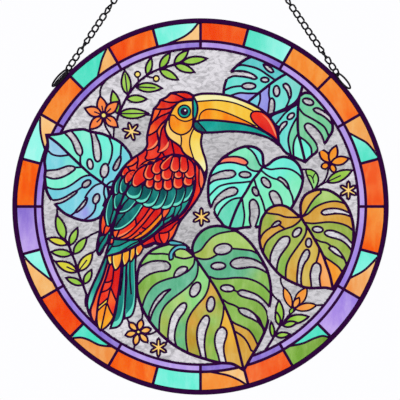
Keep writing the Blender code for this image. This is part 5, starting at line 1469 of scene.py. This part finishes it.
class Stuff:
    """A material being put together."""

    def __init__(self, name, **finish):
        self.material = bpy.data.materials.new(name)
        self.material.use_nodes = True
        self.tree = self.material.node_tree
        self.shader = self.tree.nodes["Principled BSDF"]
        for socket, value in finish.items():
            self.shader.inputs[socket.replace("_", " ")].default_value = value

    def node(self, kind, settings=None, **inputs):
        made = self.tree.nodes.new("ShaderNode" + kind)
        for name, value in (settings or {}).items():
            setattr(made, name, value)
        for name, value in inputs.items():
            self.feed(made.inputs[name.replace("_", " ")], value)
        return made

    def feed(self, socket, value):
        if isinstance(value, Value):
            value = value.socket
        if isinstance(value, bpy.types.NodeSocket):
            self.tree.links.new(value, socket)
        else:
            socket.default_value = value

    def value(self, socket):
        return Value(self.tree, socket)

    def tint(self):
        """The colour that a pane carries."""
        made = self.node("Attribute", {"attribute_type": "GEOMETRY", "attribute_name": "tint"})
        return made.outputs["Color"]

    def place(self, stretch=(1, 1, 1), turn=0.0):
        """Places on the object, turned in the plane of the panel and stretched."""
        where = self.node("TexCoord").outputs["Object"]
        return self.node("Mapping", {"vector_type": "POINT"}, Vector=where, Scale=stretch,
            Rotation=(0, turn, 0)).outputs[0]

    def noise(self, scale, detail=2.0, roughness=0.5, distortion=0.0, place=None):
        where = place or self.place()
        made = self.node("TexNoise", Vector=where, Scale=scale, Detail=detail, Roughness=roughness,
            Distortion=distortion)
        return self.value(made.outputs[0])

    def spread(self, value, low, high, to_low=0.0, to_high=1.0):
        made = self.node("MapRange", {"interpolation_type": "SMOOTHSTEP"}, Value=value)
        for slot, number in zip(("From Min", "From Max", "To Min", "To Max"), (low, high, to_low, to_high)):
            made.inputs[slot].default_value = number
        return self.value(made.outputs[0])

    def mixed(self, share, a, b, kind="MIX"):
        made = self.node("Mix", {"data_type": "RGBA", "blend_type": kind})
        self.feed(made.inputs[0], share)
        self.feed(made.inputs[6], a)
        self.feed(made.inputs[7], b)
        return made.outputs[2]

    def bump(self, height, strength, distance):
        made = self.node("Bump", Height=height, Strength=strength, Distance=distance)
        self.feed(self.shader.inputs["Normal"], made.outputs[0])

    def finish(self, **inputs):
        for name, value in inputs.items():
            self.feed(self.shader.inputs[name.replace("_", " ")], value)
        return self.material


def art_glass(name, turn):
    """Streaky glass: its tint comes with the pane, with clouds and streaks, thin lighter ripple lines painted on as
    highlights, and soft waves.
    """
    stuff = Stuff(name, Transmission_Weight=1.0, IOR=1.5, Specular_Tint=(0.12, 0.12, 0.12, 1.0))
    tint = stuff.tint()
    streaks = stuff.noise(1.0, 3.0, 0.5, 0.5, stuff.place((170, 40, 45), turn=turn))
    clouds = stuff.noise(60.0, 2.0, 0.5, 0.4)
    light = stuff.spread(streaks * 0.6 + clouds * 0.4, 0.36, 0.66)
    # Painted highlight: thin lighter lines where the glass's ripples would catch the light
    ripple_highlight = stuff.spread(stuff.noise(1.0, 2.0, 0.5, 1.6, stuff.place((330, 80, 150), turn=turn + 0.5)),
        0.5, 0.58)
    made = stuff.node("Gamma", Color=tint, Gamma=1.21 - light * 0.31 - ripple_highlight * 0.08)
    waves = stuff.noise(90.0, 2.0, 0.5, 0.5, stuff.place((1.0, 1.0, 0.45), turn=turn))
    seeds = stuff.noise(520.0, 1.0)
    stuff.bump(waves + seeds * 0.06, 0.5, 0.0012)
    return stuff.finish(Base_Color=made.outputs[0], Roughness=stuff.spread(seeds, 0.3, 0.7, 0.05, 0.13))


def hammered_glass():
    """Clear glass with a rolled hammered face, wrinkled by the roller, with the wrinkles' light and shade painted into
    its grey.
    """
    stuff = Stuff("hammered_clear_glass", Transmission_Weight=1.0, IOR=1.5,
        Specular_Tint=(0.3, 0.3, 0.3, 1.0))
    grey = stuff.tint()
    wrinkles = stuff.noise(1.0, 2.0, 0.5, 2.2, stuff.place((110, 40, 230), turn=0.5))
    fine = stuff.noise(600.0, 1.0)
    haze = stuff.noise(45.0, 2.0)
    # Painted light and shade: the wrinkles lighten and darken the glass's grey
    light = stuff.spread(wrinkles * 0.8 + haze * 0.2, 0.36, 0.58)
    shade = stuff.mixed(light, (0.70, 0.70, 0.70, 1.0), (1.22, 1.22, 1.21, 1.0))
    stuff.bump(wrinkles + fine * 0.15, 0.6, 0.0016)
    return stuff.finish(Base_Color=stuff.mixed(1.0, grey, shade, "MULTIPLY"),
        Roughness=stuff.spread(fine, 0.3, 0.7, 0.2, 0.32))


def patina_lead():
    """Lead came and solder with a dark violet patina."""
    stuff = Stuff("patina_lead", Metallic=0.4, Specular_IOR_Level=0.08,
        Specular_Tint=(0.25, 0.12, 0.35, 1.0))
    mottle = stuff.noise(330.0, 4.0, 0.6)
    tint = stuff.mixed(mottle, (0.014, 0.0008, 0.024, 1.0), (0.036, 0.003, 0.050, 1.0))
    stuff.bump(mottle + stuff.noise(1500.0, 1.0) * 0.3, 0.35, 0.0003)
    return stuff.finish(Base_Color=tint, Roughness=stuff.spread(mottle, 0.3, 0.7, 0.34, 0.55))


def black_wire():
    """Blackened steel wire, a little brighter where it rubs."""
    stuff = Stuff("blackened_wire", Metallic=0.1, Specular_IOR_Level=0.06)
    grain = stuff.noise(800.0, 3.0)
    tint = stuff.mixed(stuff.spread(grain, 0.35, 0.7), (0.004, 0.003, 0.005, 1.0),
        (0.014, 0.012, 0.016, 1.0))
    stuff.bump(grain, 0.3, 0.0002)
    return stuff.finish(Base_Color=tint, Roughness=stuff.spread(grain, 0.3, 0.7, 0.38, 0.6))


def matt_plaster():
    stuff = Stuff("pale_floor", Roughness=0.8)
    grain = stuff.noise(30.0, 3.0)
    return stuff.finish(Base_Color=stuff.mixed(grain, (0.86, 0.86, 0.88, 1.0), (0.94, 0.94, 0.95, 1.0)))


# ---- the rim, the hanging loops, the chains and the top ring -------------------------------

LOOP_ANGLES = {-1: 47.5, 1: 48.7}
LOOP_LENGTHS = {-1: 19.4, 1: 17.2}
LOOP_WIDTH, LOOP_WIRE, LOOP_TILT, LOOP_RADIUS = 6.6, 1.7, 27.0, 151.6
LOOP_STRAND = 0.95
LINK_LENGTH, LINK_WIDTH, LINK_WIRE = 7.5, 5.7, 1.5
LINK_PITCH, LINK_TWIST, END_TWIST = 5.56, 66.0, 57.0
# The links at which each chain turns over
CHAIN_TURNS = {-1: (4, 10.6, 18), 1: (3, 12.5, 19)}
TOP_RING_RADIUS, TOP_RING_WIRE = 7.0, 2.0
RING_CENTRE = 267.0
GAP = 0.3


def settle(piece, name, stuff, smooth_angle=35):
    """Names a finished piece, gives it its material and puts its place into its mesh."""
    bpy.ops.object.select_all(action="DESELECT")
    piece.select_set(True)
    bpy.context.view_layer.objects.active = piece
    bpy.ops.object.transform_apply(location=True, rotation=True, scale=True)
    piece.name = piece.data.name = name
    piece.data.materials.clear()
    piece.data.materials.append(stuff)
    bpy.ops.object.shade_smooth_by_angle(angle=math.radians(smooth_angle))
    return piece


def make_rim(stuff):
    """A rounded channel spun round the panel's edge."""
    section = [(146.2, -1.9), (146.2, -2.5), (146.5, -2.85), (147.1, -3.0), (148.9, -3.0), (149.6, -2.75),
        (150.0, -2.1), (150.0, 2.1), (149.6, 2.75), (148.9, 3.0), (147.1, 3.0), (146.5, 2.85), (146.2, 2.5),
        (146.2, 1.9), (148.7, 1.9), (148.7, -1.9)]
    mesh = bpy.data.meshes.new("rim_channel")
    mesh.from_pydata([(r * MM, y * MM, -HANG_HEIGHT * MM) for r, y in section],
        [(k, (k + 1) % len(section)) for k in range(len(section))], [])
    rim = bpy.data.objects.new("rim_channel", mesh)
    bpy.context.scene.collection.objects.link(rim)
    bpy.ops.object.select_all(action="DESELECT")
    rim.select_set(True)
    bpy.context.view_layer.objects.active = rim
    bpy.ops.object.mode_set(mode="EDIT")
    bpy.ops.mesh.select_all(action="SELECT")
    bpy.ops.mesh.spin(steps=180, angle=2 * math.pi, center=(0, 0, -HANG_HEIGHT * MM), axis=(0, 1, 0))
    bpy.ops.mesh.select_all(action="SELECT")
    bpy.ops.mesh.remove_doubles(threshold=1e-6)
    bpy.ops.mesh.normals_make_consistent(inside=False)
    bpy.ops.object.mode_set(mode="OBJECT")
    return settle(rim, "rim_channel", stuff)


def wire_loop(length, width, wire, corners):
    """The middle line of an oval of wire in the XY plane."""
    reach, half = (length - wire) / 2, (width - wire) / 2
    straight = max(reach - half, 0)
    line = []
    for k in range(corners):
        angle = 2 * math.pi * (k + 0.5) / corners
        x = math.copysign(straight, math.cos(angle)) + min(half, reach) * math.cos(angle)
        line.append(Vector((x, half * math.sin(angle), 0)))
    return line


def wire_mesh(rings, wire, sides):
    """Closed loops of wire with a round section, as vertices and faces."""
    vertices, faces = [], []
    for ring in rings:
        count = len(ring)
        start = len(vertices)
        middle = sum(ring, Vector()) / count
        for k, here in enumerate(ring):
            way = (ring[(k + 1) % count] - ring[k - 1]).normalized()
            out = here - middle
            out = (out - way * out.dot(way)).normalized()
            up = way.cross(out)
            for j in range(sides):
                angle = 2 * math.pi * j / sides
                skin = here + (out * math.cos(angle) + up * math.sin(angle)) * wire / 2
                vertices.append((skin - Vector((0, 0, HANG_HEIGHT))) * MM)
        for k in range(count):
            for j in range(sides):
                a, b = start + k * sides, start + (k + 1) % count * sides
                faces.append((a + j, a + (j + 1) % sides, b + (j + 1) % sides, b + j))
    return vertices, faces


def loop_frame(side):
    """Where a hanging loop lies: across the rim's front edge, its length along the rim."""
    angle = math.radians(LOOP_ANGLES[side])
    middle = LOOP_RADIUS * turned(side * LOOP_ANGLES[side])
    along = Vector((-side * math.cos(angle), 0, math.sin(angle)))
    out = Vector((middle.real, 0, middle.imag)).normalized()
    tilt = math.radians(LOOP_TILT)
    across = out * math.cos(tilt) + Vector((0, 1, 0)) * math.sin(tilt)
    centre = Vector((middle.real, 0, middle.imag))
    centre.y = -(RIM_DEPTH / 2 + GAP + LOOP_STRAND / 2 + 0.1) + (LOOP_WIDTH - LOOP_WIRE) / 2 * math.sin(tilt)
    return centre, along, across


def link_angle(side, k, last, share):
    """The turn of a link's section: twisted curb links, edge-on at both ends of the chain."""
    turns = sum(180 * min(max((k - middle + 1.7) / 3.4, 0), 1) for middle in CHAIN_TURNS[side])
    angle = LINK_TWIST * share - turns
    if k == 0:
        angle += END_TWIST * (share - 0.5)
    if k == last:
        angle += END_TWIST * (share + 0.5)
    return math.radians(side * angle)


def chain_links(side):
    """The middle lines of a chain's links, from the loop up to the top ring."""
    centre, along, _ = loop_frame(side)
    loop_end = centre + along * (LOOP_LENGTHS[side] - LOOP_WIRE) / 2
    apex = Vector((0, 0, RING_CENTRE))
    way = (apex - loop_end).normalized()
    low = loop_end - way * ((LOOP_WIRE + LINK_WIRE) / 2 + GAP)
    high = apex - way * (TOP_RING_RADIUS - (TOP_RING_WIRE + LINK_WIRE) / 2 - GAP)
    way = (high - low).normalized()
    span = (high - low).length
    reach = LINK_LENGTH - LINK_WIRE
    count = round((span - reach) / LINK_PITCH) + 1
    pitch = (span - reach) / (count - 1)
    flat = Vector((0, 1, 0)).cross(way).normalized()
    depth = way.cross(flat)
    links = []
    for k in range(count):
        middle = low + way * (reach / 2 + pitch * k)
        ring = []
        for p in wire_loop(LINK_LENGTH, LINK_WIDTH, LINK_WIRE, 20):
            angle = link_angle(side, k, count - 1, p.x / reach)
            ring.append(middle + way * p.x + (flat * math.cos(angle) + depth * math.sin(angle)) * p.y)
        links.append(ring)
    return links


def loop_strands(side):
    """A hanging loop's turns of wire: two side by side, and on the left two more wound on its inner half."""
    centre, along, across = loop_frame(side)
    strands = []
    turns = [(LOOP_STRAND / 2, 1.0, 0.0, 0.0), (LOOP_WIRE - LOOP_STRAND / 2, 1.0, 0.0, 0.0)]
    if side < 0:
        turns += [(LOOP_WIRE - 0.3, 0.75, -0.9, 0.95), (LOOP_WIRE + 0.7, 0.35, -0.95, 0.95)]
    for inset, share, shift, front in turns:
        reach, half = LOOP_LENGTHS[side] / 2 - inset, (LOOP_WIDTH / 2 - inset) * share
        ways = [turned(360 * (k + 0.5) / 40) for k in range(40)]
        forward = Vector((0, front, 0))
        strands.append([centre + along * reach * way.real + across * (half * way.imag + shift) - forward
            for way in ways])
    return strands


def make_hardware(stuff):
    """The loops, chains and top ring, as (piece, CAD node)."""
    made = []
    for side, hand in ((-1, "left"), (1, "right")):
        kinds = [("loop_wire_", "hanging_loop_", loop_strands(side), LOOP_STRAND),
            ("chain_links_", "chain_", chain_links(side), LINK_WIRE)]
        for name, node, rings, wire in kinds:
            vertices, faces = wire_mesh(rings, wire, 8)
            made.append((make_piece(name + hand, vertices, faces, None, stuff), node + hand))
    bpy.ops.mesh.primitive_torus_add(major_segments=64, minor_segments=16,
        major_radius=TOP_RING_RADIUS * MM, minor_radius=TOP_RING_WIRE / 2 * MM,
        rotation=(math.radians(90), 0, 0), location=(0, 0, (RING_CENTRE - HANG_HEIGHT) * MM))
    made.append((settle(bpy.context.object, "top_ring_wire", stuff, 60), "top_ring"))
    return made


# ---- putting it together -------------------------------------------------------------------

BACKGROUNDS = ["background_top", "background_right", "background_left", "background_bottom",
    "background_lower_right"]
LEAF_GLASS = {"leaf_top": "turquoise", "leaf_upper_right": "jade", "leaf_left": "turquoise",
    "leaf_centre": "turquoise", "leaf_right": "moss", "leaf_bottom": "leaf"}
TOUCAN_GLASS = {"toucan_tail": "teal", "toucan_body": "red", "toucan_face": "yellow", "beak_lower": "teal",
    "beak_upper": "yellow", "toucan_wing": "red"}


def stands_for(name):
    """The CAD nodes that a piece of glass stands for, and its slot."""
    if name.startswith("border_"):
        tint = name[7:]
        nodes = ["border_pane_%02d" % (k + 1) for k, colours in enumerate(BORDER) if tint in colours[::3]]
        return nodes, tint + "_glass"
    if name == "ring":
        return ["ring_pane_%02d" % (k + 1) for k in range(RING_PANES)], "lavender_glass"
    if name in LEAF_GLASS:
        return [name], LEAF_GLASS[name] + "_glass"
    if name in TOUCAN_GLASS:
        return [name], TOUCAN_GLASS[name] + "_glass"
    if name == "toucan_eye":
        return ["toucan_face"], "yellow_glass"
    if name == "leaf_centre_coral":
        return ["leaf_centre"], "red_glass"
    if name == "slits":
        return list(LEAF_GLASS), "clear_glass"
    if name == "flowers":
        return BACKGROUNDS, "orange_glass"
    if name == "sprigs":
        return BACKGROUNDS, "moss_glass"
    if name == "toucan_claw":
        return ["toucan_body"], "teal_glass"
    return BACKGROUNDS, "clear_glass"


def put(piece, nodes, slot):
    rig.ride(piece, "root")
    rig.slot(piece, slot)
    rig.replaces(piece, *nodes)


def main():
    lead, wire = patina_lead(), black_wire()
    clear = hammered_glass()
    parts = cut_glass(draw_cartoon())
    for name, (vertices, faces, colours) in sorted(parts.items()):
        if name == "lead":
            piece = make_piece("lead_cames", vertices, faces, None, lead)
            put(piece, ["leadwork"], "lead")
            piece.data.shade_smooth()
            piece.data.set_sharp_from_angle(angle=math.radians(50))
            continue
        nodes, slot = stands_for(name)
        plain = name in ("background", "slits")
        stuff = clear if plain else art_glass(name + "_glass", random.uniform(0, 3))
        piece = make_piece(name + "_panes", vertices, faces, colours, stuff)
        put(piece, nodes, slot)
    put(make_rim(lead), ["rim"], "lead")
    for piece, node in make_hardware(wire):
        piece.data.shade_smooth()
        put(piece, [node], "wire")


def light_panel(name, at, size, power, aim):
    lamp = bpy.data.lights.new(name, "AREA")
    lamp.energy = power
    lamp.shape = "DISK"
    lamp.size = size
    light = bpy.data.objects.new(name, lamp)
    light.location = at
    light.rotation_euler = (Vector(aim) - Vector(at)).to_track_quat("-Z", "Y").to_euler()
    bpy.context.scene.collection.objects.link(light)


# The camera: its lens and sensor in millimetres, the width that it sees and the middle of its view
LENS, SENSOR, VIEW_WIDTH, VIEW_MIDDLE = 180, 36, 0.319, (-0.0004, -0.2678)


def set_stage():
    bpy.ops.object.select_all(action="DESELECT")
    bpy.ops.mesh.primitive_plane_add(size=0.9, location=(0, 0.1, -0.75))
    floor = bpy.context.object
    floor.name = floor.data.name = "floor"
    floor.data.materials.append(matt_plaster())
    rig.stage(floor)
    scene = bpy.context.scene
    world = bpy.data.worlds.new("daylight")
    world.use_nodes = True
    sky = world.node_tree.nodes["Background"]
    sky.inputs[0].default_value = (0.985, 0.985, 1.0, 1.0)
    sky.inputs[1].default_value = 1.0
    scene.world = world
    scene.view_settings.view_transform = "Standard"
    light_panel("key", (-0.6, -1.2, 0.5), 1.0, 5.0, (0, 0, -0.27))
    lens = bpy.data.cameras.new("camera")
    lens.lens = LENS
    lens.sensor_width = SENSOR
    camera = bpy.data.objects.new("camera", lens)
    camera.location = (VIEW_MIDDLE[0], -VIEW_WIDTH / SENSOR * LENS, VIEW_MIDDLE[1])
    camera.rotation_euler = (math.radians(90), 0, 0)
    scene.collection.objects.link(camera)
    scene.camera = camera


random.seed(4)
main()
set_stage()
LOW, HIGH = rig.bounds()
with open("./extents.json") as source:
    sizes = json.load(source)
sizes["scene"] = [list(LOW), list(HIGH)]
with open("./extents.json", "w") as out:
    json.dump(sizes, out)
